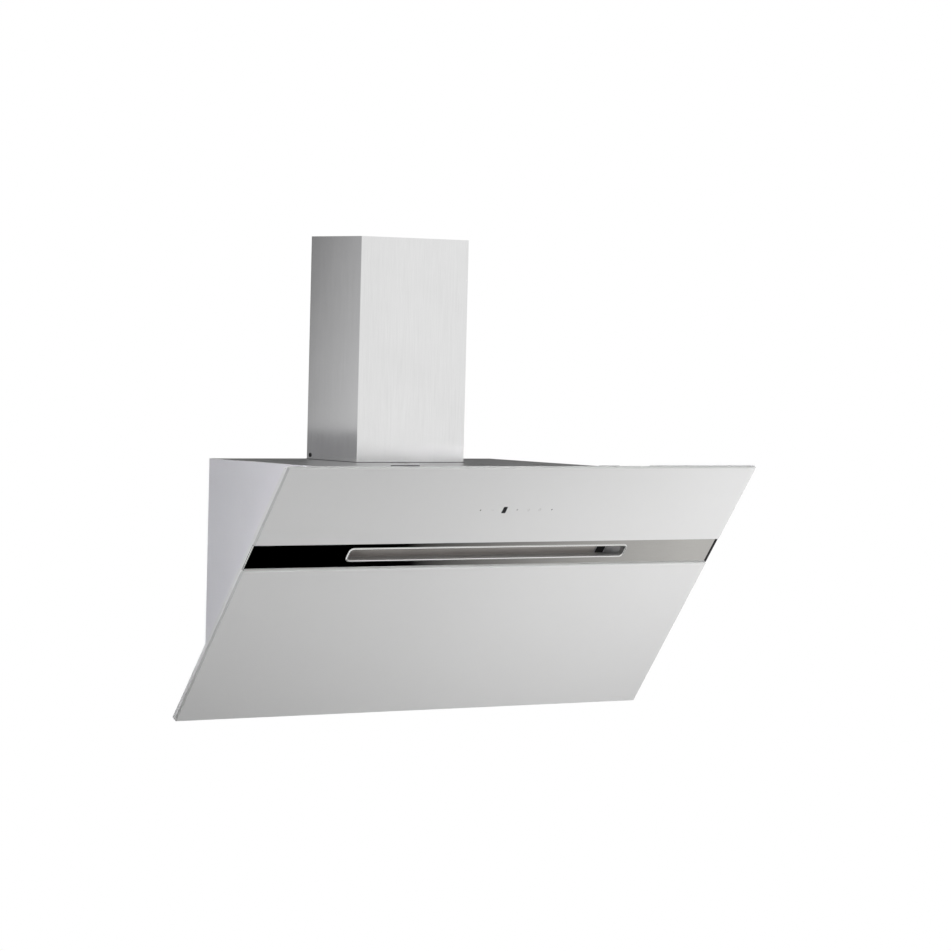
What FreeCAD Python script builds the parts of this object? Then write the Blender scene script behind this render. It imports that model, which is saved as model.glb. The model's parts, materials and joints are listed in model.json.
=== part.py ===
"""Angled wall-chimney range hood with a flat glass front panel.

A narrow sheet-steel body hangs on the wall and holds the blower, the filters
and the lamps. A wide leaning panel, two glass sheets on a steel tray with a
polished suction band between them, hangs in front of it on two top hinges.
A telescopic chimney stands on the deck round the outlet.

Frame: origin on the wall plane, at the centre of the four wall bolts.
+X to the right seen from the room, -Y towards the room, +Z up. Millimetres.

The leaning parts are drawn in slope coordinates (x, s, d): s runs down the
panel from the top edge of the glass, d runs into the hood from its front face.
"""
import FreeCAD
import Part
import math
import os

V = FreeCAD.Vector
X_AXIS = V(1, 0, 0)
Z_AXIS = V(0, 0, 1)

# ---------------------------------------------------------------- general
SHEET = 1.0                 # folded sheet steel of the body and chimney
SEAT_GAP = 0.3              # pieces of different bodies that meet at rest
SLIP = 0.4                  # loose fit all round, filter in frame and so on
RUN_FIT = 0.06              # radial clearance of every turning pin

# ---------------------------------------------------------------- body
BODY_WIDTH = 556.0
BODY_HEIGHT = 372.0
DECK_Z = 150.0              # top of the deck above the wall bolt centre
BOTTOM_Z = DECK_Z - BODY_HEIGHT
FLANGE = 12.0               # turned edges of the body sheets
BOLT_SPACING_X = 440.0
BOLT_SPACING_Z = 200.0
BOLT_HOLE_R = 4.5
BOLT_PLATE_WIDTH = 44.0
BOLT_PLATE_THICK = 2.5
BOLT_PLATE_MARGIN = 22.0    # plate beyond the bolt centres

# ---------------------------------------------------------------- panel
PANEL_WIDTH = 900.0
PANEL_LENGTH = 501.0        # down the slope
PANEL_TILT = 36.6           # degrees from upright, top edge towards the room
PANEL_REACH = 488.0         # wall to the top edge of the glass
PANEL_PROUD = 5.3           # top edge of the glass above the deck
GLASS_THICK = 4.0
GLASS_ARRIS = 1.2           # ground edge of the glass
UPPER_GLASS_LENGTH = 150.2
BAND_HEIGHT = 49.6          # polished steel left open between the sheets
BAND_THICK = 1.0
BAND_GAP = 0.5              # band to each glass sheet
TAPE_THICK = 1.0
TAPE_WIDTH = 20.0
TAPE_INSET = 14.0
TRAY_SHEET = 0.8
TRAY_DEPTH = 6.0            # front sheet to the end of its flange
TRAY_TOP_DROP = 8.0         # tray flange below the top edge of the glass
TRAY_LIP_RISE = 0.5         # upstanding lip above the top edge of the glass
TRAY_LIP_START_X = 132.0    # where the lip begins; left of it the sheet ends lower
TRAY_LIP_DROP = 1.5         # sheet without lip, below the top edge of the glass
BACK_SHEET = 0.7
LIFT_NOTCH_X = 203.0        # notch in the lip
LIFT_NOTCH_WIDTH = 61.0

# ---------------------------------------------------------------- suction slot
SLOT_LENGTH = 533.5         # inside the rim
SLOT_HEIGHT = 20.4
SLOT_RISE = 1.4             # slot above the middle of the band
SLOT_CORNER_R = 5.0
RIM_WIDTH = 3.0
RIM_PROUD = 1.6             # rim in front of the band
COLLAR_THICK = 1.2
CHANNEL_HEIGHT = 98.0
CHANNEL_SHEET = 1.2
CHANNEL_INSET = 1.5         # channel plate short of the panel edge
CHANNEL_RISE = 21.0         # end walls behind the channel plate
CHANNEL_END_LEAN = 11.0     # how far they lean inwards over that rise
DEFLECTOR_LENGTH = 444.0
DEFLECTOR_GAP = 7.5         # clear depth behind the channel plate
DEFLECTOR_SHEET = 1.2
DEFLECTOR_HEIGHT = 74.0
DEFLECTOR_FLANGE = 9.0

# ---------------------------------------------------------------- controls
CONTROL_S = 83.8            # icons below the top edge of the glass
BOARD_LENGTH = 158.0
BOARD_HEIGHT = 26.0
BOARD_THICK = 1.6
DISPLAY_X = -15.0
DISPLAY_WIDTH = 16.0
DISPLAY_HEIGHT = 22.0
DISPLAY_THICK = 4.0

# ---------------------------------------------------------------- front frame
FRONT_DEPTH = 34.0          # glass face to the front of the body
FILTER_WIDTH = 232.0
FILTER_LENGTH = 330.0
FILTER_THICK = 9.0
FILTER_TOP_S = 104.0
FILTER_MULLION = 10.0       # between the two filter openings
FILTER_BORDER = 17.0
FILTER_BORDER_WALL = 1.0
FILTER_SLATS = 13
SLAT_ANGLE = 28.0
SLAT_THICK = 1.2
SLAT_REACH = 0.42           # half a slat's width, as a share of the pitch
SLAT_TENON = 1.0            # slat into the border at each end
LEDGE = 6.0                 # lip behind the filters

LATCH_WIDTH = 36.0
LATCH_HEIGHT = 9.0
LATCH_THICK = 4.0
LATCH_TRAVEL = 5.0
LATCH_TONGUE_WIDTH = 18.0
LATCH_TONGUE_THICK = 2.4
LATCH_TONGUE_LENGTH = 6.0
LATCH_TONGUE_BITE = 1.5     # tongue beyond the wall that it locks into
LATCH_GRIP = 3.0            # finger ridge in front of the filter
LATCH_GRIP_WIDTH = 25.0
LATCH_GRIP_THICK = 3.0
LATCH_GRIP_INSET = 2.0

# ---------------------------------------------------------------- hinges, catches
HINGE_X = 150.0
HINGE_S = 25.0
HINGE_DEPTH = 22.0
HINGE_WIDTH = 64.0
HINGE_EYE_R = 5.0
HINGE_PIN_R = 2.5
HINGE_PLATE = 2.5
HINGE_EAR = 4.0
HINGE_LEAF_LENGTH = 40.0
HINGE_LEAF_SCREW_DX = 20.0
HINGE_LEAF_SCREW_IN = 10.0  # screws from the end of the moving leaf
FIXED_LEAF_LENGTH = 34.0
FIXED_LEAF_SCREW_DX = 16.0
FIXED_LEAF_SCREW_IN = 8.0
FIXED_LEAF_GAP = 1.0        # under the deck sheet
HINGE_EAR_ROOT = 20.0       # width of an ear where it leaves the leaf
HINGE_EAR_TIP = 3.0         # half its width beside the eye
PIN_HEAD_R = 4.0
PIN_HEAD = 1.5
SCREW_R = 2.0
SCREW_HEAD_R = 3.6
SCREW_HEAD = 1.4
SCREW_REACH = 2.0           # screw end beyond the sheets that it holds
CATCH_X = 205.0
CATCH_UP = 30.0             # catch centre above the end of the front frame
CATCH_WIDTH = 42.0
CATCH_LENGTH = 15.0
CATCH_CORNER_R = 3.0
STRIKE_THICK = 2.0
STRIKE_SCREW_PITCH = 30.0
BUMPER_X = 252.0
BUMPER_R = 6.0
BUMPER_INSET = 20.0
CABLE_DUCT_X = -232.0
CABLE_DUCT_WIDTH = 76.0
CABLE_DUCT_HEIGHT = 8.2
CABLE_DUCT_FRONT = 4.5      # ahead of the hinge axis
CABLE_DUCT_LENGTH = 34.0
CABLE_DUCT_EDGE_R = 1.5

# ---------------------------------------------------------------- chimney
CHIMNEY_WIDTH = 210.0
CHIMNEY_DEPTH = 144.5
CHIMNEY_HEIGHT = 359.5
CHIMNEY_WALL_GAP = 19.3     # rear edges to the wall
CHIMNEY_RETURN = 14.0
CHIMNEY_BEND_R = 1.9        # outside of its folds
CHIMNEY_SLIDE_FIT = 0.5
CHIMNEY_BRACKET = 26.0
CHIMNEY_BRACKET_HEIGHT = 16.0
CHIMNEY_BRACKET_THICK = 2.0
CHIMNEY_SCREW_UP = 7.0
CHIMNEY_SCREW_IN = 11.0
UPPER_CHIMNEY_DROP = 3.0    # nested cover below the rim of the fixed one

# ---------------------------------------------------------------- outlet
SPIGOT_R = 62.0
SPIGOT_WALL = 2.4
SPIGOT_HEIGHT = 46.0
SPIGOT_FLANGE_R = 69.0
SPIGOT_FLANGE = 3.0
SPIGOT_PIN_SHORT = 0.4      # flap pin short of the outside of the collar
FLAP_UP = 18.0              # flap axis above the deck
FLAP_THICK = 1.4
FLAP_RING = 2.4             # seat ring under the flaps
FLAP_RING_BITE = 1.4        # ring into the collar wall
FLAP_PLAY = 1.0             # flap edge to the collar
FLAP_TENON = 1.0            # flap into its eyes
FLAP_PIN_R = 2.0
FLAP_EYE_R = 4.0
FLAP_EYE_LENGTH = 14.0
GROMMET_X = -84.0
GROMMET_Y = -68.0
GROMMET_BORE_R = 4.5
GROMMET_R = 8.0
GROMMET_LIP = 2.0           # collar beyond the hole
GROMMET_COLLAR = 2.5

# ---------------------------------------------------------------- blower
BLOWER_Y = -165.0
BLOWER_DROP = 150.0         # blower axis below the deck
SCROLL_WIDTH = 150.0
SCROLL_WALL = 2.0
SCROLL_R_MIN = 88.0
SCROLL_R_MAX = 115.0
SCROLL_NECK = 88.0          # outlet neck, wall side to cut-off
SCROLL_STEPS = 8            # arcs of the spiral
ADAPTER_HEIGHT = 42.0       # funnel between the neck and the deck
ADAPTER_FOLDS = 5           # folds in each corner of the funnel
INLET_R = 66.0
INLET_LIP = 6.0
IMPELLER_R = 78.0
IMPELLER_BORE_R = 63.0
IMPELLER_WIDTH = 128.0
IMPELLER_BLADES = 32
BLADE_THICK = 1.2
BLADE_SWEEP = 9.0           # degrees between inner and outer blade edge
BLADE_TENON = 1.0           # blade into the space between the rings' edges
IMPELLER_RING = 2.0
IMPELLER_HUB_R = 14.0
IMPELLER_HUB_LENGTH = 6.0
IMPELLER_HUB_OFFSET = 5.0   # start of the hub, left of the middle
MOTOR_R = 42.0
MOTOR_LENGTH = 78.0
MOTOR_GAP = 6.0             # hub disc to the motor
MOTOR_BEVEL = 5.0           # bevelled inner end of the motor can
SHAFT_R = 4.0
SHAFT_END = 8.0             # shaft beyond the wheel's middle, on the left
SPIDER_ARMS = 3
SPIDER_HUB_R = 31.5
SPIDER_BORE_PLAY = 4.0      # carrier hole to the shaft
SPIDER_ARM = 12.0
SPIDER_THICK = 3.0
SPIDER_ROOT_R = 25.0        # where an arm starts inside the hub
SPIDER_POST_R = 4.0
SPIDER_POST_OUT = 6.0       # post axis outside the inlet lip
BLOWER_BRACKET_X = 55.0
BLOWER_BRACKET_WIDTH = 22.0
BLOWER_BRACKET_DROP = 20.0
BLOWER_BRACKET_THICK = 2.0
BLOWER_BRACKET_STEP = 6.0   # web shorter than the plate at each end

# ---------------------------------------------------------------- electrics
BOX_X = -135.0
BOX_WIDTH = 96.0
BOX_HEIGHT = 150.0
BOX_DEPTH = 46.0
BOX_WALL = 2.0
BOX_LID = 2.0
BOX_LID_CORNER_R = 4.0
BOX_UP = -30.0              # box centre from the bolt centre

# ---------------------------------------------------------------- lamps
LAMP_X = 165.0
LAMP_Y = -82.0
LAMP_R = 27.0
LAMP_BEZEL_R = 33.0
LAMP_BEZEL = 2.0
LAMP_WALL = 2.0
LAMP_HEIGHT = 22.0
LENS_THICK = 3.0

# ---------------------------------------------------------------- derived places
TILT = math.radians(PANEL_TILT)
HALF_BODY = BODY_WIDTH / 2
INNER = HALF_BODY - SHEET
PANEL_TOP_Z = DECK_Z + PANEL_PROUD
TAPE_DEPTH = GLASS_THICK
TRAY_FRONT = GLASS_THICK + TAPE_THICK
TRAY_BACK = TRAY_FRONT + TRAY_DEPTH
BAND_TOP_S = UPPER_GLASS_LENGTH
BAND_END_S = UPPER_GLASS_LENGTH + BAND_HEIGHT
SLOT_S = (BAND_TOP_S + BAND_END_S) / 2 - SLOT_RISE
CHANNEL_FACE = TRAY_BACK + CHANNEL_SHEET
CHIMNEY_REAR_Y = -CHIMNEY_WALL_GAP
CHIMNEY_FRONT_Y = CHIMNEY_REAR_Y - CHIMNEY_DEPTH
SPIGOT_Y = (CHIMNEY_REAR_Y + CHIMNEY_FRONT_Y) / 2
BLOWER_Z = DECK_Z - BLOWER_DROP
FILTER_OPENING_WIDTH = FILTER_WIDTH + 2 * SLIP
FILTER_OPENING_LENGTH = FILTER_LENGTH + 2 * SLIP
FILTER_X = (FILTER_OPENING_WIDTH + FILTER_MULLION) / 2
FILTER_BACK = FRONT_DEPTH + FILTER_THICK
UPPER_CHIMNEY_Z = DECK_Z + CHIMNEY_BRACKET_HEIGHT + SEAT_GAP
DUCT_REAR_Y = -PANEL_REACH + HINGE_S * math.sin(TILT) + HINGE_DEPTH * math.cos(TILT)


# ================================================================ geometry helpers
def box(x0, x1, y0, y1, z0, z1):
    """Block between two corners, in the part's frame or in slope coordinates."""
    return Part.makeBox(x1 - x0, y1 - y0, z1 - z0, V(x0, y0, z0))


def rod(radius, length, start, axis):
    """Cylinder from a point along an axis."""
    return Part.makeCylinder(radius, length, start, axis)


def tube(outer, inner, length, start, axis):
    """Round tube from a point along an axis."""
    return rod(outer, length, start, axis).cut(rod(inner, length, start, axis))


def prism_x(points, x0, x1):
    """Outline of (y, z) points drawn out along X."""
    loop = [V(x0, y, z) for y, z in points]
    face = Part.Face(Part.makePolygon(loop + loop[:1]))
    return face.extrude(V(x1 - x0, 0, 0))


def fused(shapes):
    """One clean solid from several that touch or overlap."""
    first, rest = shapes[0], shapes[1:]
    return first.multiFuse(rest).removeSplitter()


def lean(shape):
    """Move a shape drawn in slope coordinates to its place on the hood."""
    top_edge = V(0, -PANEL_REACH, PANEL_TOP_Z)
    turn = FreeCAD.Rotation(X_AXIS, PANEL_TILT - 90)
    moved = shape.copy()
    moved.Placement = FreeCAD.Placement(top_edge, turn).multiply(moved.Placement)
    return moved


def slope_y(z, depth):
    """Y of the plane that lies depth behind the glass face, at height z."""
    s = (PANEL_TOP_Z + depth * math.sin(TILT) - z) / math.cos(TILT)
    return -PANEL_REACH + s * math.sin(TILT) + depth * math.cos(TILT)


def slope_s(z, depth):
    """Distance down the slope at which that plane reaches height z."""
    return (PANEL_TOP_Z + depth * math.sin(TILT) - z) / math.cos(TILT)


def body_slab(x0, x1, y_rear, z0, z1, depth=FRONT_DEPTH):
    """Block from y_rear forward to the leaning front plane."""
    outline = [(y_rear, z0), (slope_y(z0, depth), z0), (slope_y(z1, depth), z1), (y_rear, z1)]
    return prism_x(outline, x0, x1)


def rounded_bar(half_x, half_y, radius, z0, z1):
    """Upright block with four rounded corners, centred on x = y = 0."""
    wide = box(-half_x + radius, half_x - radius, -half_y, half_y, z0, z1)
    tall = box(-half_x, half_x, -half_y + radius, half_y - radius, z0, z1)
    corners = [
        rod(radius, z1 - z0, V(sx * (half_x - radius), sy * (half_y - radius), z0), Z_AXIS)
        for sx in (-1, 1) for sy in (-1, 1)
    ]
    return fused([wide, tall] + corners)


def mirrored(shape):
    """The same piece on the other side of the hood."""
    return shape.mirror(V(0, 0, 0), X_AXIS)


def pair(shape):
    """A piece and its mirror image as two separate solids."""
    return Part.makeCompound([shape, mirrored(shape)])


def slope_screw(x, s, depth, length):
    """Screw whose head rests on the plane at depth and faces into the hood."""
    head = rod(SCREW_HEAD_R, SCREW_HEAD, V(x, s, depth), Z_AXIS)
    shank = rod(SCREW_R, length, V(x, s, depth - length), Z_AXIS)
    return fused([head, shank])


def slope_hole(x, s, d0, d1, radius=SCREW_R):
    """Cutter for a screw along the depth of the slope."""
    return rod(radius, d1 - d0, V(x, s, d0), Z_AXIS)


# ================================================================ body sheets
def side_panel():
    """Right side sheet with a turned-in rear edge."""
    skin = body_slab(INNER, HALF_BODY, 0, BOTTOM_Z, DECK_Z)
    rear_turn = box(INNER - FLANGE, INNER, -2 * SHEET, -SHEET, BOTTOM_Z + SHEET, DECK_Z - SHEET)
    return fused([skin, rear_turn])


def deck():
    """Top sheet with turned-down sides and the outlet and cable holes."""
    skin = body_slab(-INNER, INNER, -SHEET, DECK_Z - SHEET, DECK_Z)
    front_y = slope_y(DECK_Z - SHEET - FLANGE, FRONT_DEPTH + SHEET)
    turn = box(INNER - SHEET, INNER, front_y, -3 * SHEET, DECK_Z - SHEET - FLANGE, DECK_Z - SHEET)
    sheet = fused([skin, turn, mirrored(turn)])
    outlet = rod(SPIGOT_R - SPIGOT_WALL, 2 * FLANGE, V(0, SPIGOT_Y, DECK_Z - FLANGE), Z_AXIS)
    cable = rod(GROMMET_R, 2 * FLANGE, V(GROMMET_X, GROMMET_Y, DECK_Z - FLANGE), Z_AXIS)
    return sheet.cut(outlet).cut(cable)


def bolt_places():
    """The four wall bolts, as (x, z)."""
    return [
        (sx * BOLT_SPACING_X / 2, sz * BOLT_SPACING_Z / 2)
        for sx in (-1, 1) for sz in (-1, 1)
    ]


def drill_wall_bolts(shape):
    """Cut the wall bolt holes that pass through a shape."""
    for x, z in bolt_places():
        shape = shape.cut(rod(BOLT_HOLE_R, 4 * FLANGE, V(x, 2 * FLANGE, z), V(0, -1, 0)))
    return shape


def back_plate():
    """Rear sheet on the wall, with the four bolt holes."""
    return drill_wall_bolts(box(-INNER, INNER, -SHEET, 0, BOTTOM_Z, DECK_Z))


def bolt_plates():
    """Two thick strips that spread the load of the wall bolts."""
    x = BOLT_SPACING_X / 2
    reach = BOLT_SPACING_Z / 2 + BOLT_PLATE_MARGIN
    half = BOLT_PLATE_WIDTH / 2
    strip = box(x - half, x + half, -SHEET - BOLT_PLATE_THICK, -SHEET, -reach, reach)
    return drill_wall_bolts(pair(strip))


def bottom_plate():
    """Lower sheet with turned-up sides and two lamp holes."""
    skin = body_slab(-INNER, INNER, -SHEET, BOTTOM_Z, BOTTOM_Z + SHEET)
    front_y = slope_y(BOTTOM_Z + SHEET, FRONT_DEPTH + SHEET)
    turn = box(INNER - SHEET, INNER, front_y, -3 * SHEET, BOTTOM_Z + SHEET, BOTTOM_Z + SHEET + FLANGE)
    sheet = fused([skin, turn, mirrored(turn)])
    for x in (-LAMP_X, LAMP_X):
        sheet = sheet.cut(rod(LAMP_R, 2 * FLANGE, V(x, LAMP_Y, BOTTOM_Z - FLANGE), Z_AXIS))
    return sheet


def filter_well(side):
    """Walls and ledge that hold one filter, in slope coordinates."""
    x0 = side * FILTER_X - FILTER_OPENING_WIDTH / 2
    x1 = side * FILTER_X + FILTER_OPENING_WIDTH / 2
    s0 = FILTER_TOP_S - SLIP
    s1 = s0 + FILTER_OPENING_LENGTH
    outer = box(x0 - SHEET, x1 + SHEET, s0 - SHEET, s1 + SHEET, FRONT_DEPTH, FILTER_BACK + SHEET)
    room = box(x0, x1, s0, s1, FRONT_DEPTH - SHEET, FILTER_BACK)
    window = box(x0 + LEDGE, x1 - LEDGE, s0 + LEDGE, s1 - LEDGE, FILTER_BACK, FILTER_BACK + 2 * SHEET)
    return outer, room.fuse(window)


def latch_slot(side):
    """Cutter for the hole that one latch tongue enters."""
    half = LATCH_TONGUE_WIDTH / 2 + SLIP
    x = side * FILTER_X
    middle = latch_middle_depth()
    reach = LATCH_TONGUE_THICK / 2 + SLIP
    s0 = FILTER_TOP_S - SLIP - LATCH_TONGUE_LENGTH
    return box(x - half, x + half, s0, FILTER_TOP_S + SLIP, middle - reach, middle + reach)


def front_frame():
    """Leaning front sheet of the body with two filter wells."""
    z0 = BOTTOM_Z + SHEET
    z1 = DECK_Z - SHEET
    back = FRONT_DEPTH + SHEET
    outline = [
        (slope_y(z0, FRONT_DEPTH), z0), (slope_y(z0, back), z0),
        (slope_y(z1, back), z1), (slope_y(z1, FRONT_DEPTH), z1),
    ]
    sheet = prism_x(outline, -INNER, INNER)
    for side in (-1, 1):
        outer, room = filter_well(side)
        sheet = sheet.fuse(lean(outer)).cut(lean(room)).cut(lean(latch_slot(side)))
    for x, s in hinge_screws_fixed():
        sheet = sheet.cut(lean(slope_hole(x, s, FRONT_DEPTH - SHEET, back + SHEET)))
    return sheet.removeSplitter()


# ================================================================ filters and latches
def latch_middle_depth():
    """Depth of the middle of the latch tongue."""
    return FRONT_DEPTH + FILTER_BORDER_WALL + LATCH_THICK / 2


def grease_filter(side):
    """Cassette of slanting baffles in a border, with a pocket for its latch."""
    x0 = side * FILTER_X - FILTER_WIDTH / 2
    x1 = x0 + FILTER_WIDTH
    s0 = FILTER_TOP_S
    s1 = s0 + FILTER_LENGTH
    border = box(x0, x1, s0, s1, FRONT_DEPTH, FILTER_BACK).cut(
        box(x0 + FILTER_BORDER, x1 - FILTER_BORDER, s0 + FILTER_BORDER, s1 - FILTER_BORDER,
            FRONT_DEPTH, FILTER_BACK))
    pitch = (FILTER_LENGTH - 2 * FILTER_BORDER) / FILTER_SLATS
    slats = []
    for index in range(FILTER_SLATS):
        middle = s0 + FILTER_BORDER + (index + 0.5) * pitch
        inset = FILTER_BORDER - SLAT_TENON
        slat = box(x0 + inset, x1 - inset, -pitch * SLAT_REACH, pitch * SLAT_REACH,
                   -SLAT_THICK / 2, SLAT_THICK / 2)
        slat.rotate(V(0, 0, 0), X_AXIS, SLAT_ANGLE)
        slat.translate(V(0, middle, (FRONT_DEPTH + FILTER_BACK) / 2))
        slats.append(slat)
    cassette = fused([border] + slats)
    return lean(cassette.cut(latch_pocket(side)))


def latch_pocket(side):
    """Room for the latch body, its grip and its tongue over the whole travel."""
    x = side * FILTER_X
    half = LATCH_WIDTH / 2 + SLIP
    s0 = FILTER_TOP_S + FILTER_BORDER_WALL
    s1 = s0 + LATCH_HEIGHT + LATCH_TRAVEL + SLIP
    d0 = FRONT_DEPTH + FILTER_BORDER_WALL
    room = box(x - half, x + half, s0, s1, FRONT_DEPTH, d0 + LATCH_THICK + SLIP)
    tongue_half = LATCH_TONGUE_WIDTH / 2 + SLIP
    middle = latch_middle_depth()
    reach = LATCH_TONGUE_THICK / 2 + SLIP
    mouth = box(x - tongue_half, x + tongue_half, FILTER_TOP_S, s0, middle - reach, middle + reach)
    return room.fuse(mouth)


def filter_latch(side):
    """Sprung bolt with a finger ridge; its tongue stands in the frame."""
    x = side * FILTER_X
    half = LATCH_WIDTH / 2
    s0 = FILTER_TOP_S + FILTER_BORDER_WALL + SLIP
    d0 = FRONT_DEPTH + FILTER_BORDER_WALL
    slab = box(x - half, x + half, s0, s0 + LATCH_HEIGHT - SLIP, d0, d0 + LATCH_THICK)
    grip_half = LATCH_GRIP_WIDTH / 2
    grip_s = s0 + LATCH_GRIP_INSET
    grip = box(x - grip_half, x + grip_half, grip_s, grip_s + LATCH_GRIP_THICK, FRONT_DEPTH - LATCH_GRIP, d0)
    tongue_half = LATCH_TONGUE_WIDTH / 2
    middle = latch_middle_depth()
    reach = LATCH_TONGUE_THICK / 2
    tip = FILTER_TOP_S - SLIP - SHEET - LATCH_TONGUE_BITE
    tongue = box(x - tongue_half, x + tongue_half, tip, s0, middle - reach, middle + reach)
    return lean(fused([slab, grip, tongue]))


# ================================================================ front panel
def glass_sheet(s0, s1):
    """Flat glass with its ground front edges."""
    half = PANEL_WIDTH / 2
    sheet = box(-half, half, s0, s1, 0, GLASS_THICK)
    front = [edge for edge in sheet.Edges if edge.BoundBox.ZMax < GLASS_THICK / 2]
    return lean(sheet.makeChamfer(GLASS_ARRIS, front))


def slot_bar(grow, d0, d1):
    """Rounded bar the size of the suction slot, grown all round."""
    bar = rounded_bar(SLOT_LENGTH / 2 + grow, SLOT_HEIGHT / 2 + grow, SLOT_CORNER_R + grow, d0, d1)
    bar.translate(V(0, SLOT_S, 0))
    return bar


def tray():
    """Steel tray that carries the glass: front sheet, lip and turned flange."""
    half = PANEL_WIDTH / 2
    d0, d1 = TRAY_FRONT, TRAY_FRONT + TRAY_SHEET
    flange_end = TRAY_BACK - BACK_SHEET
    sheet = box(-half, half, -TRAY_LIP_RISE, PANEL_LENGTH, d0, d1)
    ring = box(-half, half, TRAY_TOP_DROP, PANEL_LENGTH, d1, flange_end).cut(
        box(-half + TRAY_SHEET, half - TRAY_SHEET, TRAY_TOP_DROP + TRAY_SHEET,
            PANEL_LENGTH - TRAY_SHEET, d1, flange_end))
    body = fused([sheet, ring])
    notch = LIFT_NOTCH_WIDTH / 2
    for x0, x1 in ((-half, TRAY_LIP_START_X), (LIFT_NOTCH_X - notch, LIFT_NOTCH_X + notch)):
        body = body.cut(box(x0, x1, -TRAY_LIP_RISE, TRAY_LIP_DROP, d0, d1))
    window = box(-BOARD_LENGTH / 2 - SLIP, BOARD_LENGTH / 2 + SLIP,
                 CONTROL_S - BOARD_HEIGHT / 2 - SLIP, CONTROL_S + BOARD_HEIGHT / 2 + SLIP, d0, d1)
    return lean(body.cut(window).cut(slot_bar(COLLAR_THICK, d0, d1)))


def tray_back():
    """Cover sheet over the back of the tray."""
    half = PANEL_WIDTH / 2
    d0 = TRAY_BACK - BACK_SHEET
    sheet = box(-half, half, TRAY_TOP_DROP, PANEL_LENGTH, d0, TRAY_BACK)
    sheet = sheet.cut(slot_bar(COLLAR_THICK, d0, TRAY_BACK))
    for x, s in hinge_screws_moving() + strike_screws():
        sheet = sheet.cut(slope_hole(x, s, d0, TRAY_BACK))
    return lean(sheet)


def glass_tapes():
    """Bonding tapes between the two glass sheets and the tray."""
    half = PANEL_WIDTH / 2 - TAPE_INSET
    rows = [
        TAPE_INSET, BAND_TOP_S - TAPE_INSET - TAPE_WIDTH,
        BAND_END_S + TAPE_INSET, (BAND_END_S + PANEL_LENGTH - TAPE_WIDTH) / 2,
        PANEL_LENGTH - TAPE_INSET - TAPE_WIDTH,
    ]
    strips = [box(-half, half, s, s + TAPE_WIDTH, TAPE_DEPTH, TRAY_FRONT) for s in rows]
    return lean(Part.makeCompound(strips))


def band():
    """Polished steel strip between the glass sheets, cut out for the slot."""
    half = PANEL_WIDTH / 2
    strip = box(-half, half, BAND_TOP_S + BAND_GAP, BAND_END_S - BAND_GAP, TRAY_FRONT - BAND_THICK, TRAY_FRONT)
    return lean(strip.cut(slot_bar(COLLAR_THICK, TRAY_FRONT - BAND_THICK, TRAY_FRONT)))


def slot_rim():
    """Bright rim round the slot, with a collar that runs through the tray."""
    face = TRAY_FRONT - BAND_THICK
    rim = slot_bar(RIM_WIDTH, face - RIM_PROUD, face)
    collar = slot_bar(COLLAR_THICK, face, CHANNEL_FACE)
    hollow = slot_bar(0, face - RIM_PROUD, CHANNEL_FACE)
    return lean(fused([rim, collar]).cut(hollow))


def channel_plate():
    """Plate behind the band that carries the deflector and its end walls."""
    half = PANEL_WIDTH / 2 - CHANNEL_INSET
    reach = CHANNEL_HEIGHT / 2
    plate = box(-half, half, SLOT_S - reach, SLOT_S + reach, TRAY_BACK, CHANNEL_FACE)
    return lean(plate.cut(slot_bar(COLLAR_THICK, TRAY_BACK, CHANNEL_FACE)))


def channel_ends():
    """Bent walls at the two ends of the air channel, leaning towards each other."""
    x0 = SLOT_LENGTH / 2 + COLLAR_THICK
    x1 = x0 - CHANNEL_END_LEAN
    d0, d1 = CHANNEL_FACE, CHANNEL_FACE + CHANNEL_RISE
    outline = [
        (x0 + FLANGE, d0), (x0, d0), (x1, d1), (x1 + CHANNEL_SHEET, d1),
        (x0 + CHANNEL_SHEET, d0 + CHANNEL_SHEET), (x0 + FLANGE, d0 + CHANNEL_SHEET),
    ]
    loop = [V(x, SLOT_S - CHANNEL_HEIGHT / 2, d) for x, d in outline]
    wall = Part.Face(Part.makePolygon(loop + loop[:1])).extrude(V(0, CHANNEL_HEIGHT, 0))
    return lean(pair(wall))


def deflector():
    """Curved guide behind the slot that turns the air upwards."""
    half = DEFLECTOR_LENGTH / 2
    d0 = CHANNEL_FACE
    bend = DEFLECTOR_GAP + DEFLECTOR_SHEET
    foot_s = SLOT_S + SLOT_HEIGHT / 2 + COLLAR_THICK + bend
    top_s = foot_s + DEFLECTOR_FLANGE - DEFLECTOR_HEIGHT
    outline = [
        (foot_s + DEFLECTOR_FLANGE, d0), (foot_s + DEFLECTOR_FLANGE, d0 + DEFLECTOR_SHEET),
        (foot_s, d0 + DEFLECTOR_SHEET),
    ]
    flange = prism_x(outline + [(foot_s, d0)], -half, half)
    quarter = tube(bend, DEFLECTOR_GAP, 2 * half, V(-half, foot_s - bend, d0), X_AXIS)
    corner = box(-half, half, foot_s - bend, foot_s, d0, d0 + bend)
    wall = box(-half, half, top_s, foot_s - bend, d0 + DEFLECTOR_GAP, d0 + bend)
    joint = box(-half, half, foot_s - DEFLECTOR_SHEET, foot_s, d0, d0 + DEFLECTOR_SHEET)
    return lean(fused([flange, quarter.common(corner), wall, joint]))


def touch_board():
    """Sensor board on the back of the upper glass."""
    half = BOARD_LENGTH / 2
    reach = BOARD_HEIGHT / 2
    board = box(-half, half, CONTROL_S - reach, CONTROL_S + reach, GLASS_THICK, GLASS_THICK + BOARD_THICK)
    return lean(board)


def display():
    """Digit display on the back of the sensor board."""
    d0 = GLASS_THICK + BOARD_THICK
    half = DISPLAY_WIDTH / 2
    reach = DISPLAY_HEIGHT / 2
    block = box(DISPLAY_X - half, DISPLAY_X + half, CONTROL_S - reach, CONTROL_S + reach,
                d0, d0 + DISPLAY_THICK)
    return lean(block)


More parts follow.
